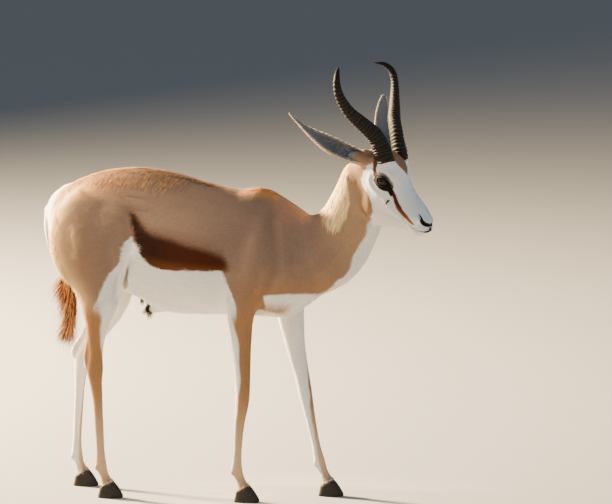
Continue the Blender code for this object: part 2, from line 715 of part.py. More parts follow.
def ear(name, side, shape, head):
    """A long cupped leaf: rolled to a tube at its foot, open along its length, and pointed at the tip."""
    tip, opens, twist = shape
    foot = level_place(EAR_FOOT[0], side * EAR_FOOT[1], EAR_FOOT[2])
    end = level_place(tip[0], side * tip[1], tip[2])
    turn = Matrix.Rotation(HEAD_TURN, 3, "Z")
    run = (end - foot).normalized()
    opening = turn @ Vector((opens[0], side * opens[1], opens[2]))
    opening = (opening - opening.dot(run) * run).normalized()
    length = (end - foot).length
    steps, folds = 15, 8
    outer, inner = [], []
    for i in range(steps):
        t = (1 + EAR_ROOT_SUNK) * i / (steps - 1) - EAR_ROOT_SUNK
        spread = EAR_ROLL[0] + (EAR_ROLL[1] - EAR_ROLL[0]) * max(t, 0) ** 0.8
        half = np.interp(t, *np.array(EAR_HALF_WIDTHS).T)
        radius = half / math.sin(min(spread, math.pi / 2))
        wall = EAR_THICKNESS * (1 - 0.45 * max(t, 0))
        middle = foot + run * length * t - Vector((0, 0, EAR_SAG)) * math.sin(math.pi * max(t, 0))
        front = Matrix.Rotation(twist * max(t, 0) ** 1.5, 3, run) @ opening
        across = front.cross(run)
        rows = ([], [])
        for j in range(folds + 1):
            a = spread * (2 * j / folds - 1)
            back = -front * math.cos(a) + across * math.sin(a)
            # the leaf lies on its own back line, so that the roll opens without leaving the run
            centre = middle + front * radius * 0.55
            rows[0].append(centre + back * radius)
            rows[1].append(centre + back * (radius - wall))
        outer.append(rows[0])
        inner.append(rows[1])
    rings = [o + list(reversed(n)) for o, n in zip(outer, inner)]
    made = skin_over(rings, name, flat=True)
    cut(made, grown(head, GAP))
    return dress(largest(made), "ear")


def lock(root, run, side, length, width, curl):
    """A flat tapered lock of long hair, of three lengths, bent along its way."""
    rings = []
    for t, share in ((0.0, 0.75), (0.35, 1.0), (0.72, 0.70), (1.0, 0.12)):
        middle = root + run * length * t + curl * length * t * t
        thick = max(0.0032 * share, 0.0006)
        normal = run.cross(side).normalized()
        rings.append([
            middle + side * width * share,
            middle + normal * thick,
            middle - side * width * share,
            middle - normal * thick,
        ])
    return skin_over(rings, "lock")


def union(name, pieces):
    """Joins closed pieces by one Boolean union on a collection."""
    group = bpy.data.collections.new(name + "_pieces")
    for piece in pieces[1:]:
        group.objects.link(piece)
    whole = pieces[0]
    whole.name = name
    step = whole.modifiers.new("union", "BOOLEAN")
    step.operation, step.solver = "UNION", "EXACT"
    step.operand_type, step.collection = "COLLECTION", group
    baked(whole)
    for piece in pieces[1:]:
        bpy.data.objects.remove(piece)
    bpy.data.collections.remove(group)
    return whole


def tail(body, legs):
    """The thin tail, and below it the tuft of long hair, a node of its own."""
    stalk = swept("tail", TAIL, 20, 10)
    core = through(TAIL, 60)
    parting = min(core, key=lambda row: abs(row[2] - TAIL_TUFT_TOP))[:3]
    tuft_core = halved(stalk, parting, (0.2, 0, -1), "tail_tuft")
    for near in (body, *legs):
        cut(stalk, grown(near, GAP))
    random = np.random.default_rng(SEED)
    hairs = []
    core = core[core[:, 2] < TAIL_TUFT_TOP - 0.022]
    for i in range(TAIL_LOCKS):
        x, y, z, deep, wide = core[int(i / TAIL_LOCKS * len(core) * 0.92)]
        a = 2.4 * i
        out = Vector((math.cos(a), 0.7 * math.sin(a), 0))
        root = Vector((x, y, z)) + Vector((out.x * deep, out.y * wide, 0)) * 0.35
        run = (TAIL_LOCK_RUN + out * random.uniform(0.10, 0.26)).normalized()
        side = run.cross(out).normalized()
        curl = TAIL_LOCK_CURL - out * 0.10
        length = TAIL_LOCK_LENGTH * random.uniform(0.75, 1.05)
        width = TAIL_LOCK_HALF_WIDTH * random.uniform(0.8, 1.2)
        hairs.append(lock(root, run, side, length, width, curl))
    made = union("tail_tuft", [tuft_core, *hairs])
    dress(largest(stalk), "white")
    dress(largest(made), "tuft")


def lens(middle, axis, up, length, height, depth):
    """An almond-shaped plug along an axis, for the opening between the lids."""
    along = axis.cross(up).normalized()
    upward = along.cross(axis).normalized()
    rings = []
    for reach in (-0.2, 1.0):
        ring = []
        for a in np.linspace(0, 2 * math.pi, 20, endpoint=False):
            c, s = math.cos(a), math.sin(a)
            rise = height * s * (1 - 0.35 * c * c)
            ring.append(middle + axis * depth * reach + along * length * c + upward * rise)
        rings.append(ring)
    return skin_over(rings, "lens")


def eyes(head):
    """Each eyeball sits in a socket behind lids that open as an almond."""
    for side, where in ((-1, "right"), (1, "left")):
        middle, axis = eye_middle(side), eye_axis(side)
        cut(head, ball("socket", middle, (EYE_RADIUS + GAP,) * 3, steps=3))
        up = head_turn() @ Vector((-0.17, 0, 1))
        cut(head, lens(middle, axis, up, *LID_OPENING, 0.032))
        dress(ball("eye_" + where, middle, (EYE_RADIUS,) * 3, steps=3), "eye")
    return head


# Mouth line seen from above the muzzle: x, half width, z in the head's frame, from the corner to the front
MOUTH = (
    (0.095, 0.0262, -0.0360), (0.110, 0.0245, -0.0365), (0.124, 0.0225, -0.0360), (0.134, 0.0205, -0.0340),
    (0.144, 0.0180, -0.0310), (0.152, 0.0140, -0.0270), (0.158, 0.0085, -0.0225), (0.161, 0.0030, -0.0200),
)
MOUTH_DEPTH = 0.0035
# Line of the left nostril, in the head's frame, from its upper end down to the nose's tip
NOSTRIL = (
    (0.1200, 0.0200, 0.0005), (0.1290, 0.0210, -0.0030), (0.1370, 0.0180, -0.0052), (0.1460, 0.0130, -0.0058),
    (0.1510, 0.0050, -0.0065),
)


def mouth_and_nostrils(head):
    """Cuts the line of the mouth round the muzzle, and the two slanting nostrils."""
    half = through(MOUTH, 12)
    line = [(x, -y, z) for x, y, z in half] + [(x, y, z) for x, y, z in half[::-1]]
    rings = []
    for i, (x, y, z) in enumerate(line):
        ahead, behind = np.array(line[min(i + 1, len(line) - 1)]), np.array(line[max(i - 1, 0)])
        run = ahead - behind
        out = np.array((run[1], -run[0], 0)) / math.hypot(run[0], run[1])
        ends = 0.35 if i in (0, len(line) - 1) else 1.0
        ring = []
        deep = -MOUTH_DEPTH * ends
        for reach, rise in ((0.009, 0.0011), (deep, 0.0002), (deep, -0.0002), (0.009, -0.0011)):
            ring.append(head_place(*(np.array((x, y, z)) + out * reach + np.array((0, 0, rise)))))
        rings.append(ring)
    cut(head, skin_over(rings, "mouth"))
    for side in (-1, 1):
        rings = []
        rows = through(NOSTRIL, 7)
        for i, (x, y, z) in enumerate(rows):
            t = i / (len(rows) - 1)
            radius = 0.0012 + 0.0026 * math.sin(math.pi * min(0.15 + 0.8 * t, 1))
            ring = []
            for a in np.linspace(0, 2 * math.pi, 8, endpoint=False):
                rise, reach = radius * math.sin(a), 1.7 * radius * math.cos(a)
                ring.append(head_place(x + 0.4 * rise, side * (y + reach), z + rise))
            rings.append(ring)
        cut(head, skin_over(rings, "nostril"))
    return head


NECK_CUT = ((0.372, 0.0, 0.640), (0.78, 0.0, 0.62))  # a point and a normal, as for the next
HEAD_CUT = ((-0.070, 0.0, -0.030), (0.98, 0.0, 0.20))  # ahead, left and above, level from between the eyes


def centred():
    """Moves the whole ram so that the middle of its box is over the origin."""
    corners = np.array([o.matrix_world @ v.co for o in bpy.data.objects for v in o.data.vertices])
    low, high = corners.min(0), corners.max(0)
    shift = Matrix.Translation((-(low[0] + high[0]) / 2, -(low[1] + high[1]) / 2, 0))
    for piece in bpy.data.objects:
        piece.data.transform(shift)


def main():
    clear_scene()
    body = flesh()
    legs = part_legs(body)
    part_cannons(legs)
    body.name = "torso"
    neck = halved(body, *NECK_CUT, "neck")
    head = halved(neck, level_place(*HEAD_CUT[0]), level_place(*HEAD_CUT[1]) - HEAD_AT, "head")
    claws()
    tail(body, [legs["hindleg_right"], legs["hindleg_left"]])
    for side, where, shape in ((-1, "right", EAR_RIGHT), (1, "left", EAR_LEFT)):
        horn("horn_" + where, side, head)
        ear("ear_" + where, side, shape, head)
    eyes(head)
    mouth_and_nostrils(head)
    for piece in (body, neck, head):
        dress(largest(piece), "fawn")
    centred()


main()
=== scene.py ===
"""The looks of a life-size springbok ram: skin, coat, horns, claws, eyes and the studio it stands in."""

import math

import bmesh
import bpy
import numpy as np
from mathutils import Matrix, Vector
from mathutils.bvhtree import BVHTree


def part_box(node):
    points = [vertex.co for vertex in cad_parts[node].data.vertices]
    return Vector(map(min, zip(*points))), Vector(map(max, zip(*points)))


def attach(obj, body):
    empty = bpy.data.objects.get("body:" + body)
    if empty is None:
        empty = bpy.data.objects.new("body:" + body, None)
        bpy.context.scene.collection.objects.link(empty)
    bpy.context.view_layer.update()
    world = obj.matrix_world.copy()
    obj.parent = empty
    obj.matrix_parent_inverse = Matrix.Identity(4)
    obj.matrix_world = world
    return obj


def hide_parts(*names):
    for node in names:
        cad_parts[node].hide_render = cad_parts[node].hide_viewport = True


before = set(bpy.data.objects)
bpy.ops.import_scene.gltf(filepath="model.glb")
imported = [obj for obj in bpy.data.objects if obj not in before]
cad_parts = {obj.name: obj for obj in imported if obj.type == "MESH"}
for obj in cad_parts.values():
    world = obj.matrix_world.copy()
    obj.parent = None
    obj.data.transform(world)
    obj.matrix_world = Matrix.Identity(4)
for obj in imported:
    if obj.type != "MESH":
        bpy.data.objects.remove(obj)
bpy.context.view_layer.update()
random = np.random.default_rng(11)

# The ram was drawn about a point of its own, and the frame has it centred.
# The middle of its right eye tells how far it was moved, so that every place below is a drawn one.
HEAD_AT = np.array((0.5105, -0.060, 0.797))
HEAD_TURN, HEAD_DROP = math.radians(-23), math.radians(40)
EYE_AT = (0.001, 0.0345, 0.001)
EYE_LOOKS = (0.30, 1.0, 0.10)
EYE_RADIUS = 0.0170
LEVEL_FRAME = np.array(Matrix.Rotation(HEAD_TURN, 3, "Z"))
HEAD_FRAME = LEVEL_FRAME @ np.array(Matrix.Rotation(HEAD_DROP, 3, "Y"))


def from_head(local):
    """Drawn places of points in the head's frame: x to the nose, y left, z out of the forehead."""
    return HEAD_AT + np.asarray(local, float) @ HEAD_FRAME.T


def from_level(local):
    """Drawn places of points measured level from between the eyes: ahead, left, above."""
    return HEAD_AT + np.asarray(local, float) @ LEVEL_FRAME.T


def to_head(drawn):
    """Drawn places in the head's frame."""
    return (drawn - HEAD_AT) @ HEAD_FRAME


low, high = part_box("eye_right")
MOVED = from_head((EYE_AT[0], -EYE_AT[1], EYE_AT[2])) - np.array((low + high) / 2)

# The studio: a camera where the photographer stood, ten metres off and a little above the back,
# a pale floor, wide cool lights from the camera's side, and warm ones from behind the rump.
CAMERA_AZIMUTH, CAMERA_HEIGHT = math.radians(12), math.radians(7)
CAMERA_FAR, CAMERA_SEES = 10.0, 60
FRAME_WIDTH, PIXELS_PER_METRE = 612, 410
AIM_RIGHT, AIM_UP = 116 / PIXELS_PER_METRE, 245 / PIXELS_PER_METRE
BODY_MIDDLE = Vector((0.1, 0, 0.55))
FLOOR_SIZE, FLOOR_TONE = 60, (0.34, 0.34, 0.335, 1)
SKY_TONE, SKY_STRENGTH = (0.74, 0.85, 1.0, 1), 0.29
LIGHTS = (  # name, place, size, watts, colour
    ("key", (-5.4, 1.70, 2.6), 0.9, 6700, (1.0, 0.76, 0.46)),
    ("fill", (1.6, -4.5, 2.8), 4.0, 70, (0.80, 0.90, 1.0)),
    ("over", (0.2, -0.6, 4.2), 3.0, 26, (0.92, 0.96, 1.0)),
    ("nose", (3.8, 0.6, 1.7), 2.0, 24, (0.86, 0.93, 1.0)),
)
LIGHTS_AIM = (0, 0, 0.6)
RUMP_LIGHT_AT, RUMP_AT = (-2.0, -0.22, 2.50), (-0.40, -0.08, 0.67)
RUMP_WATTS, RUMP_LIGHT_TONE = 2900, (1.0, 0.74, 0.42)
RUMP_LIGHT_SIZE, RUMP_CONE, RUMP_CONE_SOFT = 0.25, math.radians(9.0), 0.8


def new_material(name, roughness, specular):
    """A new material and its node tree, with the shader's roughness and sheen set."""
    made = bpy.data.materials.new(name)
    made.use_nodes = True
    shader = made.node_tree.nodes["Principled BSDF"]
    shader.inputs["Roughness"].default_value = roughness
    shader.inputs["Specular IOR Level"].default_value = specular
    return made, made.node_tree


def new_lamp(kind, name, place, aim_at, watts, colour):
    """The settings of a new lamp that is turned to a point."""
    bpy.ops.object.light_add(type=kind, location=place)
    lamp = bpy.context.object
    lamp.name = "light_" + name
    lamp.data.energy = watts
    lamp.data.color = colour
    lamp.rotation_euler = (Vector(place) - Vector(aim_at)).to_track_quat("Z", "Y").to_euler()
    return lamp.data


bpy.ops.object.select_all(action="DESELECT")
right = Vector((math.cos(CAMERA_AZIMUTH), math.sin(CAMERA_AZIMUTH), 0))
back = Vector((
    math.sin(CAMERA_AZIMUTH) * math.cos(CAMERA_HEIGHT),
    -math.cos(CAMERA_AZIMUTH) * math.cos(CAMERA_HEIGHT),
    math.sin(CAMERA_HEIGHT),
))
up = back.cross(right)
aim = right * AIM_RIGHT + up * AIM_UP + back * BODY_MIDDLE.dot(back) - Vector(MOVED)
bpy.ops.object.camera_add(location=aim + back * CAMERA_FAR)
camera = bpy.context.object
camera.rotation_euler = Matrix((right, up, back)).transposed().to_euler()
camera.data.sensor_width = 36
camera.data.lens = CAMERA_FAR * PIXELS_PER_METRE * camera.data.sensor_width / FRAME_WIDTH
camera.data.clip_end = CAMERA_SEES
bpy.context.scene.camera = camera

bpy.ops.mesh.primitive_plane_add(size=FLOOR_SIZE, location=(0, 0, 0))
floor = bpy.context.object
floor.name = "floor"
pale, tree = new_material("studio_floor", 0.9, 0.1)
tree.nodes["Principled BSDF"].inputs["Base Color"].default_value = FLOOR_TONE
floor.data.materials.append(pale)

world = bpy.data.worlds.new("studio")
world.use_nodes = True
world.node_tree.nodes["Background"].inputs["Color"].default_value = SKY_TONE
world.node_tree.nodes["Background"].inputs["Strength"].default_value = SKY_STRENGTH
bpy.context.scene.world = world

for name, place, size, watts, colour in LIGHTS:
    lamp = new_lamp("AREA", name, place, LIGHTS_AIM, watts, colour)
    lamp.shape = "DISK"
    lamp.size = size
lamp = new_lamp("SPOT", "rump", RUMP_LIGHT_AT, RUMP_AT, RUMP_WATTS, RUMP_LIGHT_TONE)
lamp.shadow_soft_size = RUMP_LIGHT_SIZE
lamp.spot_size = RUMP_CONE
lamp.spot_blend = RUMP_CONE_SOFT

# The skin: one surface over the whole ram, grown from the frame's pieces of flesh, which it replaces.
# They are swelled until they meet, meshed anew on an even grid and smoothed, most on the barrel.
SWELL = 0.0007
GRID = 0.0030
SMOOTHED = {"whole": 3, "body": 26, "neck": 10, "head": 3}
SKIN_SHARE = 0.36

EAR_FOOT = (-0.058, 0.040, 0.046)
EARS = {  # side, tip, the way that the cup opens at its foot, and its twist at the tip
    "right": (-1, (-0.166, 0.1875, 0.166), (0.94, -0.02, -0.02), math.radians(50)),
    "left": (1, (-0.147, 0.190, 0.184), (0.82, -0.57, 0.05), 0.0),
}
EAR_HALF_WIDTHS = (
    (0.0, 0.0170), (0.15, 0.0210), (0.35, 0.0250), (0.55, 0.0250), (0.72, 0.0212), (0.86, 0.0150),
    (0.95, 0.0090), (1.0, 0.0025),
)
EAR_FULL = {"right": (0.95, 0.40), "left": (1.14, 0.0)}  # width of the cup, and what it loses to the tip
EAR_SAG = 0.018
EAR_ROLL = (math.radians(125), math.radians(47))
EAR_SET = 0.55  # how far the cup's middle stands off the ear's line, as a share of its radius
EAR_ROOT = (  # share of the ear's length, and the root's thickness there as a share of the cup's
    (-0.10, 1.00), (-0.03, 1.08), (0.03, 1.06), (0.08, 0.98), (0.13, 0.84), (0.18, 0.62), (0.215, 0.30),
)
HORN_FOOT = (0.004, 0.034, 0.054)
PEDICLE = (  # place along the horn's foot: behind, out, up; half depth and half width
    (0.002, -0.014, -0.034, 0.030, 0.023), (0.001, -0.008, -0.020, 0.0290, 0.0222),
    (0.000, -0.003, -0.009, 0.0272, 0.0208), (-0.001, -0.001, -0.003, 0.0240, 0.0180),
)
ROOT_SIDES = 24
CHIN_AT, CHIN_HALF = (0.1425, 0.0, -0.0365), (0.0125, 0.0125, 0.0085)


def at(pairs, values):
    """Reads a list of pairs as a curve."""
    pairs = np.array(pairs)
    return np.interp(values, pairs[:, 0], pairs[:, 1])


def unit(vectors):
    """The same ways at length 1."""
    return vectors / (np.linalg.norm(vectors, axis=-1, keepdims=True) + 1e-12)


def ear_section(where, t):
    """An ear's cup at share t of its length: middle, run, way of opening, way across, radius, half turn."""
    side, tip, opens, twist = EARS[where]
    foot = from_level((EAR_FOOT[0], side * EAR_FOOT[1], EAR_FOOT[2]))
    end = from_level((tip[0], side * tip[1], tip[2]))
    run = unit(end - foot)
    opening = LEVEL_FRAME @ np.array((opens[0], side * opens[1], opens[2]))
    opening = unit(opening - (opening @ run) * run)
    front = np.array(Matrix.Rotation(twist * max(t, 0) ** 1.5, 3, Vector(run))) @ opening
    spread = EAR_ROLL[0] + (EAR_ROLL[1] - EAR_ROLL[0]) * max(t, 0) ** 0.8
    full, lost = EAR_FULL[where]
    radius = at(EAR_HALF_WIDTHS, t) / math.sin(min(spread, math.pi / 2))
    radius = radius * (full - lost * float(step(0.45, 0.95, t)))
    sag = np.array((0, 0, EAR_SAG)) * math.sin(math.pi * max(t, 0))
    middle = foot + run * np.linalg.norm(end - foot) * t - sag + front * radius * EAR_SET
    return middle, run, front, np.cross(front, run), radius, spread


def step(low, high, x):
    """0 below low, 1 above high, and a smooth rise between; turned about where low is above high."""
    t = np.clip((x - low) / (high - low), 0, 1)
    return t * t * (3 - 2 * t)


def mesh_from(name, points, triangles):
    """A mesh object made from arrays, with its faces smooth."""
    mesh = bpy.data.meshes.new(name)
    mesh.vertices.add(len(points))
    mesh.vertices.foreach_set("co", np.asarray(points, np.float32).ravel())
    mesh.loops.add(3 * len(triangles))
    mesh.loops.foreach_set("vertex_index", np.asarray(triangles, np.int32).ravel())
    mesh.polygons.add(len(triangles))
    mesh.polygons.foreach_set("loop_start", np.arange(0, 3 * len(triangles), 3, dtype=np.int32))
    mesh.update(calc_edges=True)
    mesh.shade_smooth()
    made = bpy.data.objects.new(name, mesh)
    bpy.context.scene.collection.objects.link(made)
    return made


def arrays_of(mesh):
    """Places of a mesh's points, and the corners of its triangles."""
    points = np.empty(3 * len(mesh.vertices), np.float32)
    mesh.vertices.foreach_get("co", points)
    mesh.calc_loop_triangles()
    corners = np.empty(3 * len(mesh.loop_triangles), np.int32)
    mesh.loop_triangles.foreach_get("vertices", corners)
    return points.reshape(-1, 3).astype(float), corners.reshape(-1, 3)


def normals_of(points, triangles):
    """The outward way at each point, from the faces round it."""
    a, b, c = (points[triangles[:, k]] for k in range(3))
    facing = np.cross(b - a, c - a)
    total = np.zeros_like(points)
    for k in range(3):
        for axis in range(3):
            total[:, axis] += np.bincount(triangles[:, k], facing[:, axis], len(points))
    return total / (np.linalg.norm(total, axis=1)[:, None] + 1e-15)


def oval(deep, fore, wide, beside):
    """Places round an oval of two half sizes, along the ways given for them."""
    turns = np.linspace(0, 2 * math.pi, ROOT_SIDES, endpoint=False)
    return np.outer(deep * np.cos(turns), fore) + np.outer(wide * np.sin(turns), beside)


def gather(rings):
    """Closes rings of points into one more piece of the gathered flesh."""
    made = [[gathered.verts.new(p) for p in ring] for ring in rings]
    for below, above in zip(made, made[1:]):
        for i in range(ROOT_SIDES):
            j = (i + 1) % ROOT_SIDES
            gathered.faces.new((below[i], below[j], above[j], above[i]))
    gathered.faces.new(made[0][::-1])
    gathered.faces.new(made[-1])


def baked(obj):
    """Gives the object the mesh that its modifiers make."""
    graph = bpy.context.evaluated_depsgraph_get()
    obj.data = bpy.data.meshes.new_from_object(obj.evaluated_get(graph), depsgraph=graph)
    obj.modifiers.clear()
    return obj


flesh_names = ["torso", "neck", "head", "tail"] + sorted(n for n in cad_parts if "leg" in n)
gathered = bmesh.new()
for name in flesh_names + ["eye_left", "eye_right"]:
    piece = bmesh.new()
    piece.from_mesh(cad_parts[name].data)
    bmesh.ops.remove_doubles(piece, verts=piece.verts, dist=1e-6)
    piece.normal_update()
    for v in piece.verts:
        v.co += v.normal * SWELL
    whole = bpy.data.meshes.new("piece")
    piece.to_mesh(whole)
    piece.free()
    gathered.from_mesh(whole)
    bpy.data.meshes.remove(whole)
for where in EARS:
    rings = []
    for t, thick in EAR_ROOT:
        middle, run, front, across, radius, _ = ear_section(where, t)
        middle = middle - front * radius * (1 - thick) * 0.5
        rings.append(middle + oval(1, front, 1, across) * radius * thick - MOVED)
    gather(rings)
for side in (-1, 1):
    fore, beside = LEVEL_FRAME @ (0.82, -side * 0.57, 0.0), LEVEL_FRAME @ (0.57 * side, 0.82, 0.0)
    rings = []
    for behind, outer, above, deep, wide in PEDICLE:
        middle = from_level((HORN_FOOT[0] + behind, side * (HORN_FOOT[1] + outer), HORN_FOOT[2] + above))
        rings.append(middle + oval(deep, fore, wide, beside) - MOVED)
    gather(rings)
chin = np.eye(4)
chin[:3, :3] = HEAD_FRAME * np.array(CHIN_HALF)
chin[:3, 3] = from_head(CHIN_AT) - MOVED
bmesh.ops.create_icosphere(gathered, subdivisions=3, radius=1.0, matrix=Matrix(chin.tolist()))
mesh = bpy.data.meshes.new("skin")
gathered.to_mesh(mesh)
gathered.free()
skin = bpy.data.objects.new("skin", mesh)
bpy.context.scene.collection.objects.link(skin)
grow = skin.modifiers.new("grow", "REMESH")
grow.mode, grow.voxel_size = "VOXEL", GRID
baked(skin)

HEAD_PLANE = (from_level((-0.070, 0, -0.030)), LEVEL_FRAME @ np.array((0.98, 0, 0.20)))
NECK_PLANE = (np.array((0.372, 0, 0.640)), np.array((0.78, 0, 0.62)))


def ahead_of(plane, drawn):
    """How far places are ahead of a plane given by a point and a way."""
    point, normal = plane
    return (drawn - point) @ (normal / np.linalg.norm(normal))


points, triangles = arrays_of(skin.data)
drawn = points + MOVED
headness = ahead_of(HEAD_PLANE, drawn)
groups = {
    "whole": np.ones(len(drawn), bool),
    "body": (headness < 0) & (ahead_of(NECK_PLANE, drawn) < 0.02) & (drawn[:, 2] > 0.47),
    "neck": (headness < -0.01) & (ahead_of(NECK_PLANE, drawn) > -0.02),
    "head": headness > -0.02,
    "thinned": headness < -0.01,
}
for name, members in groups.items():
    skin.vertex_groups.new(name=name).add(np.nonzero(members)[0].tolist(), 1.0, "REPLACE")
for name, times in SMOOTHED.items():
    smoother = skin.modifiers.new(name, "SMOOTH")
    smoother.factor, smoother.iterations, smoother.vertex_group = 0.5, times, name
thin = skin.modifiers.new("thin", "DECIMATE")
thin.ratio, thin.vertex_group = SKIN_SHARE, "thinned"
baked(skin)

# The face is meshed finer where its folds are, round the eyes and on the muzzle.
# Grooves, ridges and hollows are then drawn on the whole skin as strokes along lines.
EYES = [from_head((EYE_AT[0], side * EYE_AT[1], EYE_AT[2])) for side in (-1, 1)]
EYE_WAYS = []
for side in (-1, 1):
    way = HEAD_FRAME @ np.array((EYE_LOOKS[0], side * EYE_LOOKS[1], EYE_LOOKS[2]))
    EYE_WAYS.append(way / np.linalg.norm(way))
MOUTH = (
    (0.095, 0.0262, -0.0360), (0.110, 0.0245, -0.0365), (0.124, 0.0225, -0.0360), (0.134, 0.0205, -0.0340),
    (0.144, 0.0180, -0.0310), (0.152, 0.0140, -0.0270), (0.158, 0.0085, -0.0225), (0.161, 0.0030, -0.0200),
    (0.1615, 0.0, -0.0195),
)
NOSTRIL = (
    (0.1190, 0.0200, 0.0016), (0.1285, 0.0210, -0.0012), (0.1370, 0.0185, -0.0040), (0.1460, 0.0135, -0.0062),
    (0.1510, 0.0065, -0.0075),
)


def line_through(rows, count):
    """count rows read evenly along the smooth curve through the rows."""
    rows = np.array(rows, float)
    rows = np.vstack([2 * rows[0] - rows[1], rows, 2 * rows[-1] - rows[-2]])
    made = []
    for t in np.linspace(0, len(rows) - 3, count):
        i = min(int(t), len(rows) - 4)
        f = t - i
        a, b, c, d = rows[i : i + 4]
        bend, twist = 2 * a - 5 * b + 4 * c - d, 3 * b - a - 3 * c + d
        made.append(0.5 * (2 * b + (c - a) * f + bend * f**2 + twist * f**3))
    return np.array(made)


def near(points, line):
    """How far each point is from a broken line, and how far along it, from 0 to 1, it comes nearest."""
    best = np.full(len(points), 1e9)
    along = np.zeros(len(points))
    for i, (a, b) in enumerate(zip(line, line[1:])):
        run = b - a
        t = np.clip((points - a) @ run / (run @ run), 0, 1)
        far = np.linalg.norm(points - a - t[:, None] * run, axis=1)
        closer = far < best
        best[closer] = far[closer]
        along[closer] = (i + t[closer]) / (len(line) - 1)
    return best, along


def on_left(places):
    """Places with those on the right side mirrored to the left."""
    return places * (1, 0, 1) + np.abs(places) * (0, 1, 0)


def blot(*offsets):
    """A soft round share, 1 at its middle, from how far places are off it in half sizes each way."""
    return np.exp(-sum(offset**2 for offset in offsets))


MUZZLE_FROM, ROUND_EYE, ROUND_LINES = 0.085, 0.040, 0.007
fine = bmesh.new()
fine.from_mesh(skin.data)
bmesh.ops.triangulate(fine, faces=fine.faces)
for wanted in ("face", "lines"):
    middles = np.array([(e.verts[0].co + e.verts[1].co) / 2 for e in fine.edges]) + MOVED
    local = to_head(middles)
    if wanted == "face":
        chosen = (local[:, 0] > MUZZLE_FROM) & (ahead_of(HEAD_PLANE, middles) > 0)
        for eye in EYES:
            chosen |= np.linalg.norm(middles - eye, axis=1) < ROUND_EYE
    else:
        chosen = near(on_left(local), line_through(MOUTH, 12))[0] < ROUND_LINES
        chosen |= near(on_left(local), line_through(NOSTRIL, 10))[0] < ROUND_LINES
    edges = list(fine.edges)
    bmesh.ops.subdivide_edges(fine, edges=[edges[i] for i in np.nonzero(chosen)[0]], cuts=1)
    bmesh.ops.triangulate(fine, faces=fine.faces)
    fine.verts.ensure_lookup_table()
for _ in range(3):
    local = to_head(np.array([v.co for v in fine.verts]) + MOVED)
    soft = [v for v, x in zip(fine.verts, local[:, 0]) if x > -0.05]
    bmesh.ops.smooth_vert(fine, verts=soft, factor=0.5, use_axis_x=True, use_axis_y=True, use_axis_z=True)
fine.to_mesh(skin.data)
fine.free()

points, triangles = arrays_of(skin.data)
drawn = points + MOVED
normals = normals_of(points, triangles)

# Strokes on both flanks: line in x, y, z as drawn on the left, half width, and rise (below 0 a hollow)
FLANK_STROKES = (
    (((-0.284, 0.108, 0.672), (-0.282, 0.110, 0.645), (-0.270, 0.112, 0.612)), 0.015, -0.0024),
    (((-0.258, 0.110, 0.664), (-0.258, 0.112, 0.640), (-0.248, 0.114, 0.614)), 0.011, 0.0032),
    (((-0.126, 0.080, 0.750), (-0.120, 0.086, 0.735)), 0.034, 0.0030),
    (((-0.170, 0.096, 0.700), (-0.180, 0.104, 0.640), (-0.172, 0.104, 0.590)), 0.022, 0.0030),
    (((-0.124, 0.100, 0.700), (-0.118, 0.108, 0.660), (-0.126, 0.106, 0.620)), 0.012, -0.0040),
    (((-0.126, 0.104, 0.590), (-0.137, 0.097, 0.565), (-0.146, 0.088, 0.540), (-0.156, 0.080, 0.495)),
     0.006, -0.0090),
    (((0.205, 0.080, 0.700), (0.160, 0.104, 0.650), (0.118, 0.112, 0.590), (0.110, 0.105, 0.540)),
     0.020, -0.0024),
    (((0.222, 0.080, 0.700), (0.200, 0.100, 0.640), (0.170, 0.110, 0.580)), 0.026, 0.0028),
    (((0.276, 0.065, 0.590), (0.262, 0.080, 0.560)), 0.022, 0.0050),
    (((0.210, 0.098, 0.560), (0.195, 0.100, 0.520)), 0.014, -0.0026),
    (((0.128, 0.098, 0.520), (0.122, 0.092, 0.495)), 0.014, 0.0040),
    (((0.420, 0.040, 0.720), (0.385, 0.052, 0.660), (0.340, 0.060, 0.610), (0.300, 0.070, 0.570)),
     0.013, -0.0036),
    (((0.430, 0.040, 0.690), (0.400, 0.052, 0.630), (0.350, 0.058, 0.575)), 0.012, 0.0026),
)
# Strokes on both sides of the head, in its frame, drawn on the left
HEAD_STROKES = (
    (((0.020, 0.036, -0.028), (0.055, 0.031, -0.040), (0.085, 0.027, -0.040)), 0.0060, 0.0014),
    (((0.036, 0.034, -0.006), (0.060, 0.030, -0.018), (0.095, 0.026, -0.024)), 0.0050, -0.0014),
    (((0.026, 0.036, -0.061), (0.052, 0.031, -0.057), (0.079, 0.026, -0.049), (0.104, 0.023, -0.042)),
     0.0050, -0.0012),
    (((-0.020, 0.038, -0.045), (0.010, 0.036, -0.075), (0.020, 0.030, -0.100)), 0.0060, 0.0008),
    (((-0.034, 0.036, -0.040), (-0.010, 0.038, -0.090), (-0.004, 0.030, -0.112)), 0.0090, -0.0004),
    (((-0.033, 0.043, -0.012), (-0.027, 0.043, -0.024), (-0.008, 0.042, -0.032), (0.010, 0.040, -0.032)),
     0.0066, 0.0026),
    (((-0.022, 0.045, 0.019), (0.000, 0.044, 0.027), (0.022, 0.037, 0.021)), 0.0075, 0.0036),
    (((0.112, 0.024, 0.006), (0.130, 0.024, 0.004), (0.145, 0.018, 0.002), (0.152, 0.010, 0.001)),
     0.0040, 0.0018),
    (((0.060, 0.012, 0.026), (0.090, 0.010, 0.022), (0.115, 0.010, 0.018)), 0.0070, 0.0010),
    (((0.120, 0.022, -0.044), (0.136, 0.018, -0.042), (0.150, 0.010, -0.036)), 0.0045, 0.0014),
)
FAR_BROW = ((-0.014, 0.040, 0.030), (0.002, 0.038, 0.034), (0.020, 0.034, 0.028))
FAR_BROW_WIDE, FAR_BROW_HIGH = 0.012, 0.0045
LIP_WIDE, LIP_DEEP = 0.0014, 0.0034
NOSTRIL_WIDTHS = ((0.0, 0.0013), (0.30, 0.0032), (0.60, 0.0048), (0.85, 0.0042), (1.0, 0.0028))
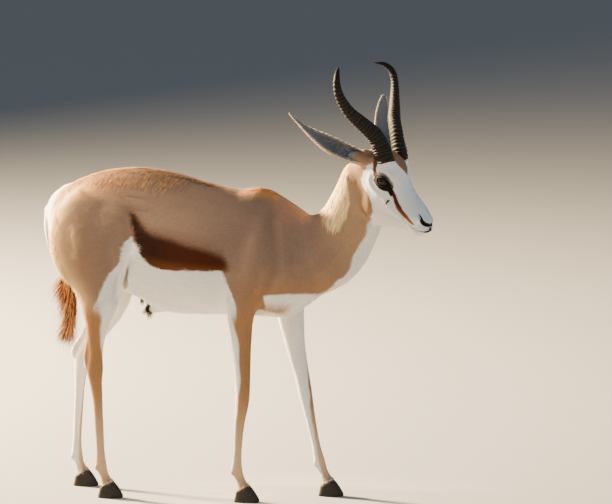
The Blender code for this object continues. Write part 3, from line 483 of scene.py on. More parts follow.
NOSTRIL_DEEP = 1.7  # in its own half widths
rise = np.zeros(len(drawn))
mirrored = on_left(drawn)
for line, wide, high in FLANK_STROKES:
    far = near(mirrored * (1, 0.35, 1), line_through(line, 14) * (1, 0.35, 1))[0]
    rise += high * blot(far / wide) * step(0.03, 0.05, mirrored[:, 1])
local = to_head(drawn)
folded = on_left(local)
facing = step(-0.05, -0.02, local[:, 0])
for line, wide, high in HEAD_STROKES:
    rise += facing * high * blot(near(folded, line_through(line, 12))[0] / wide)
# the far eye's brow stands out beyond the forehead
rise += facing * FAR_BROW_HIGH * blot(near(local, line_through(FAR_BROW, 8))[0] / FAR_BROW_WIDE)
rise -= facing * LIP_DEEP * blot(near(folded, line_through(MOUTH, 20))[0] / LIP_WIDE)
nostril_far, nostril_along = near(folded, line_through(NOSTRIL, 20))
nostril_wide = at(NOSTRIL_WIDTHS, nostril_along)
rise -= facing * NOSTRIL_DEEP * nostril_wide * blot(nostril_far / nostril_wide)


def slices(nodes, heights):
    """Middles and half sizes of some of the frame's pieces at level cuts: x, y, z, half x, half y."""
    edges = []
    for node in nodes:
        spots, faces = arrays_of(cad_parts[node].data)
        spots = spots + MOVED
        edges += [np.stack([spots[faces[:, k]], spots[faces[:, (k + 1) % 3]]], 1) for k in range(3)]
    edges = np.concatenate(edges)
    rows = []
    for z in heights:
        over = edges[(edges[:, 0, 2] - z) * (edges[:, 1, 2] - z) < 0]
        if len(over) < 3:
            continue
        share = (z - over[:, 0, 2]) / (over[:, 1, 2] - over[:, 0, 2])
        cut = over[:, 0] + (over[:, 1] - over[:, 0]) * share[:, None]
        lowest, highest = cut.min(0), cut.max(0)
        rows.append((*((lowest + highest) / 2)[:2], z, *((highest - lowest) / 2)[:2]))
    return np.array(rows)


LEGS = []
for pair in ("fore", "hind"):
    for side, where in ((-1, "right"), (1, "left")):
        leg_nodes = (f"{pair}leg_{where}_upper", f"{pair}leg_{where}_cannon")
        rows = slices(leg_nodes, np.arange(0.045, 0.520, 0.0125))
        LEGS.append((pair, side, rows))
TAIL_LINE = slices(["tail"], np.arange(0.535, 0.725, 0.01))[:, :3]


def regions(drawn):
    """Shares of head, neck, leg and tail at each point, and its place round the nearest leg."""
    parts = {"head": step(-0.020, 0.020, ahead_of(HEAD_PLANE, drawn))}
    parts["neck"] = step(-0.05, 0.05, ahead_of(NECK_PLANE, drawn)) * (1 - parts["head"])
    leg = np.zeros(len(drawn))
    place = np.zeros((len(drawn), 3))
    kind = np.zeros(len(drawn), int)
    for index, (pair, side, rows) in enumerate(LEGS):
        z = drawn[:, 2]
        x0, y0, deep, wide = (np.interp(z, rows[:, 2], rows[:, k]) for k in (0, 1, 3, 4))
        fore, out = (drawn[:, 0] - x0) / deep, side * (drawn[:, 1] - y0) / wide
        inside = step(1.9, 1.25, np.hypot(fore, out)) * step(0.500, 0.450, z)
        better = inside > leg
        leg[better] = inside[better]
        place[better] = np.stack([fore, out, z], 1)[better]
        kind[better] = index
    parts["leg"] = leg
    parts["place"] = place
    parts["kind"] = kind
    parts["tail"] = step(0.024, 0.016, near(drawn, TAIL_LINE)[0]) * step(0.73, 0.70, drawn[:, 2])
    return parts


COAT_DEPTH = {"body": 0.0032, "leg": 0.0014, "head": 0.0014, "tail": 0.0010}
parts = regions(drawn)
depth = np.full(len(drawn), COAT_DEPTH["body"])
for part in ("head", "leg", "tail"):
    depth += (COAT_DEPTH[part] - depth) * parts[part]
depth *= 1 - 0.55 * (step(0.080, 0.110, local[:, 0]) * parts["head"])
points = points + normals * (rise - depth - SWELL * 0.5)[:, None]

SOCKET = EYE_RADIUS - 0.0035
outer_skin = BVHTree.FromPolygons(points.tolist(), triangles.tolist())
for eye, way in zip(EYES, EYE_WAYS):
    spoke = points - (eye - MOVED)
    far = np.linalg.norm(spoke, axis=1)
    turned = np.degrees(np.arccos(np.clip(spoke @ way / (far + 1e-12), -1, 1)))
    inside = step(62, 50, turned) * (far < 0.030)
    points -= spoke * (inside * (1 - SOCKET / np.maximum(far, SOCKET)))[:, None]

# The coat's colours and markings, from the skin of the flanks to the stripe on the cheek, with painted
# sunlight and shade among them.
# Each is a soft-edged field of a point's drawn place, so the skin and every tuft read the same one.
FAWN = (0.258, 0.168, 0.118)
BACK_SHADE = (0.215, 0.142, 0.100)
WARM = (0.300, 0.158, 0.074)
NECK_FAWN = (0.400, 0.250, 0.140)
WHITE = (0.800, 0.785, 0.750)
STRIPE_REAR, STRIPE_FRONT, STRIPE_RIM = (0.026, 0.009, 0.005), (0.058, 0.015, 0.004), (0.150, 0.050, 0.014)
CHEEK_DARK, CHEEK_PALE = (0.060, 0.010, 0.005), (0.250, 0.090, 0.028)
BLACK = (0.006, 0.005, 0.005)
NAPE_SUNLIGHT, RUMP_SUNLIGHT = (0.84, 0.55, 0.27), (0.64, 0.42, 0.20)
CROUP_SUNLIGHT, HIP_HIGHLIGHT = (0.55, 0.31, 0.12), (0.60, 0.38, 0.18)
FLANK_PAINTED_LIGHT, FLANK_PAINTED_SHADE, STRIPE_EDGE = (0.36, 0.26, 0.19), (0.15, 0.10, 0.07), (0.20, 0.115, 0.075)
WITHERS_SUNLIGHT, CREST_SUNLIGHT = (0.50, 0.23, 0.08), (0.42, 0.21, 0.09)
FOLD_DARK, FOLD_LIFT = (0.11, 0.09, 0.055), (0.22, 0.18, 0.13)
SHIN_PALE, FETLOCK = (0.50, 0.35, 0.22), (0.20, 0.13, 0.085)
MUZZLE_SKY_SHADE, BROW_SHADE_TONE, BROW_UMBER = (0.44, 0.52, 0.60), (0.060, 0.068, 0.085), (0.115, 0.048, 0.022)
# The flank's stripe: x and height along its top and its foot, then height and x along its rear end
STRIPE_TOP = (
    (-0.150, 0.712), (-0.130, 0.710), (-0.1216, 0.705), (-0.110, 0.697), (-0.097, 0.684), (-0.084, 0.668),
    (-0.072, 0.660), (-0.035, 0.652), (0.016, 0.636), (0.066, 0.625), (0.107, 0.611), (0.125, 0.590),
)
STRIPE_FOOT = (
    (-0.150, 0.650), (-0.130, 0.649), (-0.122, 0.646), (-0.114, 0.635), (-0.0994, 0.607), (-0.085, 0.592),
    (-0.072, 0.581), (-0.050, 0.572), (-0.022, 0.5705), (0.029, 0.571), (0.107, 0.570), (0.125, 0.568),
)
STRIPE_REAR_EDGE = ((0.60, -0.108), (0.635, -0.114), (0.650, -0.118), (0.690, -0.128), (0.715, -0.131))
# Edges of the white on the belly, the rump and the throat: height and x
ELBOW_EDGE = (
    (0.40, 0.142), (0.45, 0.139), (0.477, 0.138), (0.501, 0.134), (0.520, 0.126), (0.545, 0.116),
    (0.568, 0.106), (0.60, 0.100),
)
THIGH_EDGE = (
    (0.427, -0.212), (0.472, -0.218), (0.497, -0.202), (0.527, -0.191), (0.554, -0.176), (0.570, -0.163),
    (0.585, -0.152), (0.603, -0.1475), (0.625, -0.1425), (0.638, -0.134), (0.646, -0.124),
)
RUMP_EDGE = (
    (0.40, -0.245), (0.45, -0.250), (0.50, -0.272), (0.548, -0.306), (0.580, -0.322), (0.608, -0.331),
    (0.658, -0.332), (0.720, -0.326), (0.750, -0.316),
)
THROAT_EDGE = (
    (0.480, 0.290), (0.504, 0.316), (0.521, 0.347), (0.545, 0.376), (0.573, 0.402), (0.601, 0.412),
    (0.626, 0.425), (0.663, 0.449), (0.707, 0.464), (0.737, 0.469),
)
# The face, in the head's frame: z and x of the white's rear edge, then x and half width of the brown wedge
CHEEK_EDGE = (
    (-0.157, 0.045), (-0.138, 0.037), (-0.112, 0.029), (-0.077, 0.027), (-0.062, 0.011), (-0.051, -0.013),
    (-0.048, -0.034), (-0.038, -0.047), (-0.022, -0.052), (0.000, -0.052), (0.010, -0.048), (0.020, -0.043),
    (0.026, -0.036), (0.040, -0.034),
)
FOREHEAD = (
    (-0.080, 0.060), (-0.050, 0.034), (-0.030, 0.026), (-0.012, 0.021), (0.008, 0.014), (0.022, 0.005),
    (0.028, 0.000),
)
CHEEK_STRIPE = (
    (0.032, 0.034, 0.000), (0.045, 0.032, -0.007), (0.062, 0.030, -0.018), (0.080, 0.027, -0.025),
    (0.100, 0.025, -0.026), (0.125, 0.023, -0.027),
)
CHEEK_STRIPE_WIDTHS = (
    (0.0, 0.0030), (0.25, 0.0052), (0.50, 0.0064), (0.70, 0.0054), (0.9, 0.0040), (1.0, 0.0026),
)
BROW_STRIPE = (
    (-0.047, 0.050, 0.044), (-0.039, 0.051, 0.029), (-0.034, 0.051, 0.019), (-0.029, 0.046, 0.009),
    (-0.021, 0.044, 0.002),
)
BROW_STRIPE_WIDE = 0.0066
SIDE_ON = (1, 0.3, 1)  # the face is taken as narrower for its stripes, which are drawn from the side
# Outline of the painted shade above the eye, under the brow: x and z in the head's frame
LID_SHADE = (
    (-0.020, 0.002), (0.034, -0.003), (0.026, 0.014), (0.012, 0.023), (-0.003, 0.023), (-0.018, 0.014),
)
NOSE_LINE = ((0.1490, 0.0, -0.0065), (0.157, 0.0, -0.013), (0.162, 0.0, -0.019))
EYE_PATCH = (  # outline of the black round the eye, x and z in the head's frame
    (-0.018, -0.013), (-0.007, -0.018), (0.005, -0.019), (0.018, -0.016), (0.028, -0.010), (0.038, -0.015),
    (0.043, -0.012), (0.036, 0.001), (0.022, 0.009), (0.008, 0.010), (-0.006, 0.010), (-0.018, 0.006),
    (-0.022, -0.003),
)
FOLD = (  # outline of the shaded fold between belly and thigh, x and z
    (-0.130, 0.583), (-0.1320, 0.560), (-0.1350, 0.542), (-0.1371, 0.5235), (-0.1494, 0.5120),
    (-0.1494, 0.529), (-0.1446, 0.544), (-0.1399, 0.560), (-0.1354, 0.572),
)
# Where the brown lies round a leg, and half its width, in degrees at heights: fore pair, hind pair
BROWN_MIDDLE = (
    ((0.05, 25), (0.24, 36), (0.34, 34), (0.42, 40)), ((0.05, 55), (0.33, 80), (0.43, 150), (0.50, 165)),
)
BROWN_HALF = (
    ((0.05, 118), (0.20, 96), (0.30, 62), (0.40, 58), (0.45, 74), (0.50, 90)),
    ((0.05, 120), (0.25, 95), (0.40, 80), (0.50, 90)),
)
# The nape, where the hair is long, painted golden with sunlight: height and x of its front edge, then x and
# height of its foot
NAPE_FRONT = ((0.66, 0.352), (0.69, 0.378), (0.71, 0.398), (0.74, 0.410), (0.80, 0.404))
NAPE_FOOT = ((0.30, 0.745), (0.335, 0.722), (0.362, 0.690), (0.385, 0.690), (0.42, 0.715))
EAR_WHITE, EAR_ROOT_FAWN = (0.30, 0.31, 0.32), (0.290, 0.180, 0.105)
EAR_AXES = []
for side, tip, _, _ in EARS.values():
    ear_foot = from_level((EAR_FOOT[0], side * EAR_FOOT[1], EAR_FOOT[2]))
    ear_run = from_level((tip[0], side * tip[1], tip[2])) - ear_foot
    EAR_AXES.append((ear_foot, unit(ear_run), np.linalg.norm(ear_run)))
WAVES = np.random.default_rng(3).normal(0, 1, (10, 4))


def uneven(drawn, size):
    """A smooth random field, about -1 to 1, whose waves are about that size."""
    total = np.zeros(len(drawn))
    for a, b, c, phase in WAVES:
        total += np.sin((drawn @ np.array((a, b, c))) * 2.2 / size + phase * 3)
    return total / 4


def inside_of(outline, x, y):
    """How deep points lie within an outline, in metres; below 0 outside it."""
    corners = np.array(outline)
    spots = np.stack([x, y, np.zeros(len(x))], 1)
    ring = np.column_stack([np.vstack([corners, corners[:1]]), np.zeros(len(corners) + 1)])
    within = np.zeros(len(x), bool)
    for (ax, ay), (bx, by) in zip(corners, np.roll(corners, -1, axis=0)):
        crossed = (ay > y) != (by > y)
        within ^= crossed & (x < (bx - ax) * (y - ay) / (by - ay + 1e-12) + ax)
    return np.where(within, 1, -1) * near(spots, ring)[0]


def nape_of(drawn, parts):
    """How far each place is on the nape, where the hair is long and painted golden with sunlight."""
    x, _, z = drawn.T
    nape = step(0.004, -0.008, x - at(NAPE_FRONT, z)) * step(0.0, 0.012, z - at(NAPE_FOOT, x))
    nape *= step(0.2, 0.5, parts["neck"] + parts["head"])
    return nape * step(0.010, -0.006, ahead_of(HEAD_PLANE, drawn))


def blend(first, second, share):
    """Colours on the way from the first to the second, one for each share."""
    return np.asarray(first) + (np.asarray(second) - first) * share[..., None]


def coat_colour(drawn, parts):
    """The colour of the coat at drawn places."""
    x, y, z = drawn.T
    beside = np.abs(y)
    wander = uneven(drawn, 0.03)
    colour = np.tile(np.array(FAWN), (len(drawn), 1))

    def paint(tint, share):
        """Lays a tint over the colours, by its share at each place."""
        colour[:] += (np.asarray(tint) - colour) * np.clip(share, 0, 1)[:, None]

    # painted shade: the back and the top of the flanks darker
    paint(BACK_SHADE, 0.85 * step(0.690, 0.775, z) * (1 - parts["neck"]) * step(0.34, 0.24, x))
    paint(WARM, 0.75 * step(0.60, 0.50, z) * step(0.10, 0.20, x) * (1 - parts["head"]))
    paint(WARM, 0.25 * step(-0.16, -0.24, x) * step(0.72, 0.60, z))
    paint(NECK_FAWN, 0.8 * parts["neck"])
    # painted sunlight on the nape's long hair
    paint(NAPE_SUNLIGHT, 0.85 * nape_of(drawn, parts))
    # painted light: a pale patch across the middle of the flank; painted shade: a dark band up its rear
    paint(FLANK_PAINTED_LIGHT, 0.20 * blot((x + 0.02) / 0.10, (z - 0.690) / 0.024))
    paint(FLANK_PAINTED_SHADE, 0.45 * blot((x + 0.5 * (z - 0.72) + 0.143) / 0.020, (z - 0.725) / 0.035))
    # painted sunlight: orange-gold on the top of the withers
    withers = step(0.052, 0.026, beside) * step(0.125, 0.150, x) * step(0.245, 0.215, x) * step(0.73, 0.75, z)
    paint(WITHERS_SUNLIGHT, 0.85 * withers)
    # the flank's stripe
    top, foot = at(STRIPE_TOP, x), at(STRIPE_FOOT, x)
    soft = 0.013 - 0.004 * step(-0.08, -0.10, x)
    inside = step(soft, -soft, z - top - 0.002 * wander) * step(-0.002, 0.002, z - foot - 0.0012 * wander)
    ends = step(-0.005, 0.007, x - at(STRIPE_REAR_EDGE, z)) * step(0.134, 0.112, x + 0.003 * wander)
    level = np.clip((z - foot) / np.maximum(top - foot, 1e-3), 0, 1)
    dark = blend(STRIPE_REAR, STRIPE_FRONT, step(-0.10, 0.06, x))
    dark = blend(dark, STRIPE_RIM, 0.75 * step(0.42, 0.02, level) * step(-0.11, -0.04, x))
    flank = step(0.03, 0.06, beside)
    above_foot = step(-0.003, 0.0, z - foot)
    paint(STRIPE_EDGE, 0.7 * step(0.034, 0.0, np.abs(z - top)) * ends * flank * above_foot)
    paint(dark, inside * ends * flank)
    # the belly, the flank's corner and the chest between the legs
    elbow, thigh = at(ELBOW_EDGE, z), at(THIGH_EDGE, z)
    belly = np.minimum(np.minimum(foot - z, x - thigh), elbow - x) + 0.0015 * wander
    paint(WHITE, step(-0.0015, 0.0015, belly) * step(0.662, 0.652, z))
    fold = inside_of(FOLD, x, z)
    shade = np.array(FOLD_DARK) + np.array(FOLD_LIFT) * step(0.555, 0.520, z)[:, None]
    paint(shade, 0.90 * step(-0.0022, 0.0010, fold) * step(0.03, 0.05, beside))
    brisket = step(0.002, -0.002, z - 0.5125 - 0.0015 * wander + 0.9 * step(0.205, 0.180, x))
    paint(WHITE, brisket * step(0.180, 0.19, x) * (1 - parts["leg"]))
    paint(WHITE, step(0.050, 0.035, beside) * step(0.500, 0.485, z))
    throat = step(-0.003, 0.004, x - at(THROAT_EDGE, z) + 0.004 * wander)
    paint(WHITE, throat * step(0.752, 0.735, z))
    # the rump, the crest along the croup and the backs of the thighs, with painted sunlight on the rump's
    # fawn edge and the croup, and a painted highlight on the hip
    rump = step(0.006, -0.008, x - at(RUMP_EDGE, z) + 0.004 * wander)
    paint(RUMP_SUNLIGHT, 0.90 * step(0.080, 0.0, x - at(RUMP_EDGE, z)) * step(0.40, 0.50, z))
    paint(CROUP_SUNLIGHT, 0.75 * step(-0.13, -0.26, x) * step(0.72, 0.765, z))
    paint(HIP_HIGHLIGHT, 0.6 * blot((x + 0.256) / 0.011, (z - 0.640) / 0.028))
    paint(WHITE, rump)
    crest = step(0.014, 0.006, beside - 0.030 * step(-0.30, -0.34, x))
    # painted sunlight along the top of the loin and croup
    paint(CREST_SUNLIGHT, 0.55 * step(0.09, 0.02, beside) * step(-0.10, -0.20, x) * step(0.72, 0.76, z))
    paint(WHITE, crest * step(-0.27, -0.31, x) * step(0.70, 0.74, z))
    paint(WHITE, step(0.040, 0.026, beside) * step(0.64, 0.60, z) * step(-0.10, -0.13, x))
    # the legs: brown down the front and the outer side, white within and behind
    fore, out, height = parts["place"].T
    turned = np.degrees(np.arctan2(out, fore))
    front = parts["kind"] < 2
    middle = np.where(front, at(BROWN_MIDDLE[0], height), at(BROWN_MIDDLE[1], height))
    half = np.where(front, at(BROWN_HALF[0], height), at(BROWN_HALF[1], height))
    away = np.abs((turned - middle + 180) % 360 - 180)
    brown = step(half + 12, half - 12, away + 5 * wander)
    brown *= 1 - (parts["kind"] == 1) * step(0.26, 0.34, height)
    strip = blend(WARM, SHIN_PALE, step(0.30, 0.10, height))
    leg = parts["leg"]
    paint(np.array(WHITE) * (1 - 0.06 * step(0.3, 0.05, height))[:, None], leg * (1 - brown))
    paint(strip, leg * brown)
    paint(FETLOCK, 0.45 * leg * step(0.075, 0.045, height))
    # the face
    folded = on_left(to_head(drawn))
    side = folded * SIDE_ON
    ahead, aside, above = folded.T
    face = parts["head"]
    wander = uneven(drawn, 0.012)

    def from_line(line, count=12):
        """How far places on the face are from a line seen from the side, and where along it."""
        return near(side, line_through(line, count) * SIDE_ON)

    crown = step(0.046, 0.052, above) * step(-0.048, -0.058, ahead)
    behind = step(0.0022, -0.0022, ahead - at(CHEEK_EDGE, above) + 0.0014 * wander)
    behind = np.maximum(behind, crown)
    paint(WHITE, face * (1 - behind))
    paint(np.array(NECK_FAWN) * (0.80, 0.76, 0.72), 0.9 * face * behind)
    # painted shade: the white of the muzzle tinted a sky-blue grey
    paint(MUZZLE_SKY_SHADE, face * (1 - behind) * 0.60 * step(0.0, 0.110, ahead) * step(-0.05, -0.015, above))
    patch = step(-0.0018, 0.0018, at(FOREHEAD, ahead) - aside + 0.0012 * wander) * step(0.0, 0.008, above)
    paint(np.array(WARM) * (0.72, 0.80, 0.90), face * patch * step(-0.075, -0.065, ahead))
    off_nose = step(0.014, 0.020, aside)
    brow, brow_along = from_line(BROW_STRIPE)
    umber = np.array(BROW_UMBER) * (1 - 0.55 * brow_along)[:, None]
    paint(umber, face * off_nose * step(1.2, 0.85, brow / BROW_STRIPE_WIDE + 0.12 * wander))
    stripe, along = from_line(CHEEK_STRIPE)
    rust = blend(CHEEK_DARK, CHEEK_PALE, step(0.35, 1.0, along))
    lower_edge = step(0.0, 0.004, (ahead - 0.08) * -0.30 - 0.0255 - above)
    rust = blend(rust, CHEEK_PALE, 0.7 * lower_edge)
    paint(rust, face * off_nose * step(1.25, 0.80, stripe / at(CHEEK_STRIPE_WIDTHS, along) + 0.10 * wander))
    dark_eye = inside_of(EYE_PATCH, ahead, above) + 0.0005 * wander
    # painted shade under the brow over the upper lid
    paint(BROW_SHADE_TONE, 0.92 * face * off_nose * step(-0.0045, 0.0035, inside_of(LID_SHADE, ahead, above)))
    paint(BLACK, face * off_nose * step(-0.0008, 0.0012, dark_eye))
    nostril, nostril_at = from_line(NOSTRIL, 16)
    paint(BLACK, face * step(1.30, 0.95, nostril / at(NOSTRIL_WIDTHS, nostril_at)))
    lip, lip_along = from_line(MOUTH, 16)
    lip_wide = 0.0010 + 0.0032 * step(0.58, 0.85, lip_along)
    paint(BLACK, face * (0.30 + 0.70 * step(0.45, 0.65, lip_along)) * step(1.3, 0.7, lip / lip_wide))
    paint(BLACK, face * step(0.0026, 0.0012, near(side, np.array(NOSE_LINE))[0]))
    # the ear's root inside its cup takes the cup's own grey
    for ear_foot, ear_run, reach in EAR_AXES:
        share = (drawn - ear_foot) @ ear_run / reach
        off = np.linalg.norm(drawn - ear_foot - (share * reach)[:, None] * ear_run, axis=1)
        paint(EAR_WHITE, 0.9 * step(0.10, 0.17, share) * step(0.40, 0.35, share) * step(0.040, 0.030, off))
    # the tail, and the dark tips behind the fetlocks and on the sheath
    paint(WHITE, parts["tail"])
    paint(BLACK, leg * step(-0.95, -1.15, fore) * step(0.090, 0.083, height) * step(0.058, 0.064, height))
    sheath = step(-0.096, -0.100, x) * step(-0.114, -0.110, x) * step(0.474, 0.468, z)
    paint(BLACK, sheath * step(0.02, 0.015, beside))
    return colour


def grain_of(tree, scale, detail, stretch=(1.0, 1.0, 1.0)):
    """Fine noise in the piece's own places, drawn out along its axes."""
    grain = tree.nodes.new("ShaderNodeTexNoise")
    grain.inputs["Scale"].default_value = scale
    grain.inputs["Detail"].default_value = detail
    place = tree.nodes.new("ShaderNodeTexCoord")
    drawn_out = tree.nodes.new("ShaderNodeMapping")
    drawn_out.inputs["Scale"].default_value = stretch
    tree.links.new(place.outputs["Object"], drawn_out.inputs["Vector"])
    tree.links.new(drawn_out.outputs["Vector"], grain.inputs["Vector"])
    return grain.outputs["Fac"]


def bump_from(tree, grain, strength, distance):
    """Raises a material's surface by a noise."""
    bump = tree.nodes.new("ShaderNodeBump")
    bump.inputs["Strength"].default_value = strength
    bump.inputs["Distance"].default_value = distance
    tree.links.new(grain, bump.inputs["Height"])
    tree.links.new(bump.outputs["Normal"], tree.nodes["Principled BSDF"].inputs["Normal"])


def colour_from_points(tree, grain=None, darkest=1.0, palest=1.0):
    """Gives a material the piece's own painted colours, made darker and paler by a noise."""
    painted = tree.nodes.new("ShaderNodeVertexColor")
    painted.layer_name = "coat"
    colour = painted.outputs["Color"]
    if grain:
        spread = tree.nodes.new("ShaderNodeMapRange")
        spread.inputs["To Min"].default_value = darkest
        spread.inputs["To Max"].default_value = palest
        mix = tree.nodes.new("ShaderNodeVectorMath")
        mix.operation = "MULTIPLY"
        tree.links.new(grain, spread.inputs["Value"])
        tree.links.new(colour, mix.inputs[0])
        tree.links.new(spread.outputs["Result"], mix.inputs[1])
        colour = mix.outputs["Vector"]
    tree.links.new(colour, tree.nodes["Principled BSDF"].inputs["Base Color"])


def new_fur(name):
    """A dull material in the painted colours, with a fine fleck."""
    made, tree = new_material(name, 0.85, 0.12)
    colour_from_points(tree, grain_of(tree, 260, 3), 0.88, 1.12)
    return made, tree


def paint_points(obj, colours):
    """Stores a colour for each point of a mesh."""
    layer = obj.data.color_attributes.new("coat", "FLOAT_COLOR", "POINT")
    rgba = np.ones((len(colours), 4), np.float32)
    rgba[:, :3] = np.clip(colours, 0.002, 1)
    layer.data.foreach_set("color", rgba.ravel())


bpy.data.objects.remove(skin)
skin = mesh_from("skin", points, triangles)
skin_drawn = points + MOVED
parts = regions(skin_drawn)
paint_points(skin, coat_colour(skin_drawn, parts) * 0.92)
hide, tree = new_fur("short_coat")
bump_from(tree, grain_of(tree, 700, 2, (0.30, 1.0, 0.55)), 0.35, 0.0008)
skin.data.materials.append(hide)
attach(skin, "root")
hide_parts(*flesh_names)

# The coat: flat tapered tufts that lie along the body, each one bedded in the skin by its root.
# Short ones have one ridge; long ones on the nape, croup and tail have three lengths and a bend.
skin_normals = normals_of(points, triangles)
BARREL_AXIS = (0.0, 0.600)
LIE = {  # the way that the hair points on each part
    "body": (-1.0, 0.0, -0.30), "croup": (-0.25, 0.0, -1.0), "chest": (-0.55, 0.0, -0.9),
    "neck": (-0.50, 0.0, -1.0), "leg": (0.0, 0.0, -1.0), "tail": (0.0, 0.0, -1.0),
}
FACE_LIE = HEAD_FRAME @ np.array((-1.0, 0.0, -0.10))


def flattened(ways, normals):
    """Ways laid along the surfaces that have those outward ways."""
    return unit(ways - (ways * normals).sum(1)[:, None] * normals)


def lie_of(drawn, normals, parts):
    """The way that the hair lies at each place, along the skin."""
    way = np.tile(np.array(LIE["body"]), (len(drawn), 1))
    croup = step(-0.18, -0.32, drawn[:, 0])
    way += (np.array(LIE["croup"]) - way) * croup[:, None]
    chest = step(0.24, 0.34, drawn[:, 0]) * (1 - parts["neck"])
    way += (np.array(LIE["chest"]) - way) * chest[:, None]
    for part in ("neck", "leg", "tail"):
        way += (np.array(LIE[part]) - way) * parts[part][:, None]
    way += (FACE_LIE - way) * parts["head"][:, None]
    return flattened(way, normals)


def unwrap(drawn, parts):
    """A place between 0 and 1 each way, on the ram opened out round its barrel, neck, head or leg."""
    x, y, z = drawn.T
    u = 0.5 + np.arctan2(y, z - BARREL_AXIS[1]) / (2 * math.pi)
    v = (x + 0.42) / 0.86
    local = to_head(drawn)
    on_head = parts["head"] > 0.5
    u = np.where(on_head, 0.5 + np.arctan2(local[:, 1], local[:, 2] + 0.03) / (2 * math.pi), u)
    v = np.where(on_head, (local[:, 0] + 0.14) / 0.34, v)
    on_neck = (parts["neck"] > 0.5) & ~on_head
    level = (drawn - HEAD_AT) @ LEVEL_FRAME
    round_neck = np.arctan2(level[:, 1], level[:, 0] + 0.08 + 0.35 * (0.8 - z))
    u = np.where(on_neck, 0.5 + round_neck / (2 * math.pi), u)
    v = np.where(on_neck, (z - 0.48) / 0.42, v)
    fore, out, height = parts["place"].T
    on_leg = parts["leg"] > 0.5
    turn = 0.5 + np.arctan2(out, fore) / (2 * math.pi)
    u = np.where(on_leg, (turn * 0.94 + 0.03 + parts["kind"]) / 4, u)
    v = np.where(on_leg, height / 0.55, v)
    return np.stack([np.clip(u, 0.01, 0.99), np.clip(v, 0.01, 0.99)], 1)


def scatter(count, density):
    """Roots spread over the skin's triangles: places, outward ways, with more where density is high."""
    corners = points[triangles]
    area = np.linalg.norm(np.cross(corners[:, 1] - corners[:, 0], corners[:, 2] - corners[:, 0]), axis=1)
    share = area * density[triangles].mean(1)
    chosen = random.choice(len(triangles), count, p=share / share.sum())
    a, b = random.random((2, count))
    flip = a + b > 1
    a[flip], b[flip] = 1 - a[flip], 1 - b[flip]
    weights = np.stack([1 - a - b, a, b], 1)[:, :, None]
    place = (corners[chosen] * weights).sum(1)
    facing = unit((skin_normals[triangles[chosen]] * weights).sum(1))
    return place, facing


PATCH = 0.0015  # half the width of a tuft's own patch in the unwrapped picture


def coat_piece(name, shapes, corners, colours, places, tip_tint, facing=None):
    """One coat object from tufts of one shape: points of each, their triangles, colour and unwrapped place.

    Given the skin's outward ways, the tufts are shaded mostly by them, as a close coat is.
    """
    count, size, _ = shapes.shape
    corners = np.array(corners)
    faces = (corners[None] + (np.arange(count) * size)[:, None, None]).reshape(-1, 3)
    made = mesh_from(name, shapes.reshape(-1, 3), faces)
    shade = np.linspace(1.96 - tip_tint, tip_tint, size)[:, None]
    paint_points(made, (colours[:, None, :] * shade[None]).reshape(-1, 3))
    spots = np.stack([np.cos(np.arange(size) * 2.4), np.sin(np.arange(size) * 2.4)], 1) * PATCH
    uv = (places[:, None, :] + spots[None])[:, corners.ravel()].reshape(-1, 2)
    layer = made.data.uv_layers.new(name="OFBake")
    layer.data.foreach_set("uv", uv.astype(np.float32).ravel())
    if facing is not None:
        own = normals_of(shapes.reshape(-1, 3), faces)
        soft = unit(own * 0.45 + np.repeat(facing, size, axis=0))
        made.data.normals_split_custom_set_from_vertices(soft.astype(np.float32))
    made.data.materials.append(fur)
    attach(made, "root")
    return made


SHORT_CORNERS = ((0, 2, 1), (0, 3, 2), (1, 2, 3), (0, 1, 3))


def short_tufts(roots, facing, lie, length, width, lift):
    """Ridged leaves: two root corners, a ridge point and a tip."""
    width = np.broadcast_to(width, length.shape)
    across = np.cross(facing, lie)
    sunk = roots - facing * (0.10 * width)[:, None]
    left = sunk - across * (width / 2)[:, None]
    right = sunk + across * (width / 2)[:, None]
    ridge = roots + lie * (0.38 * length)[:, None] + facing * (0.38 * length * lift + 0.14 * width)[:, None]
    tip = roots + lie * length[:, None] + facing * (length * lift * 0.72)[:, None]
    return np.stack([left, right, ridge, tip], 1)


LONG_CORNERS = (
    (0, 2, 1),
    (0, 1, 4), (0, 4, 3), (1, 2, 5), (1, 5, 4), (2, 0, 3), (2, 3, 5),
    (3, 4, 7), (3, 7, 6), (4, 5, 8), (4, 8, 7), (5, 3, 6), (5, 6, 8),
    (6, 7, 9), (7, 8, 9), (8, 6, 9),
)


def long_tufts(roots, facing, lie, length, width, lift, droop):
    """Locks of three lengths with a three-sided section, lifting from the skin and bending down."""
    width = np.broadcast_to(width, length.shape)
    across = np.cross(facing, lie)
    down = np.array((0.0, 0.0, -1.0))
    rows = []
    for t, share in ((0.0, 0.8), (0.30, 1.0), (0.68, 0.66)):
        middle = roots + lie * (length * t)[:, None] + facing * (length * lift * t * (1 - 0.35 * t))[:, None]
        middle = middle + down * (length * droop * t * t)[:, None]
        middle = middle - facing * (0.15 * width * (t == 0))[:, None]
        half = (width * share / 2)[:, None]
        rows += [middle - across * half, middle + across * half, middle + facing * half * 0.55]
    tip = roots + lie * length[:, None] + facing * (length * lift * 0.65)[:, None]
    tip = tip + down * (length * droop)[:, None]
    return np.stack([*rows, tip], 1)


def clear_of_face(drawn):
    """Roots that stay off the eyes, the lids, the nostrils and the lips."""
    side = on_left(to_head(drawn))
    keep = np.ones(len(drawn), bool)
    for eye in EYES:
        keep &= np.linalg.norm(drawn - eye, axis=1) > EYE_RADIUS + 0.0055
    keep &= near(side, line_through(NOSTRIL, 10))[0] > 0.0034
    keep &= near(side, line_through(MOUTH, 12))[0] > 0.0016
    return keep


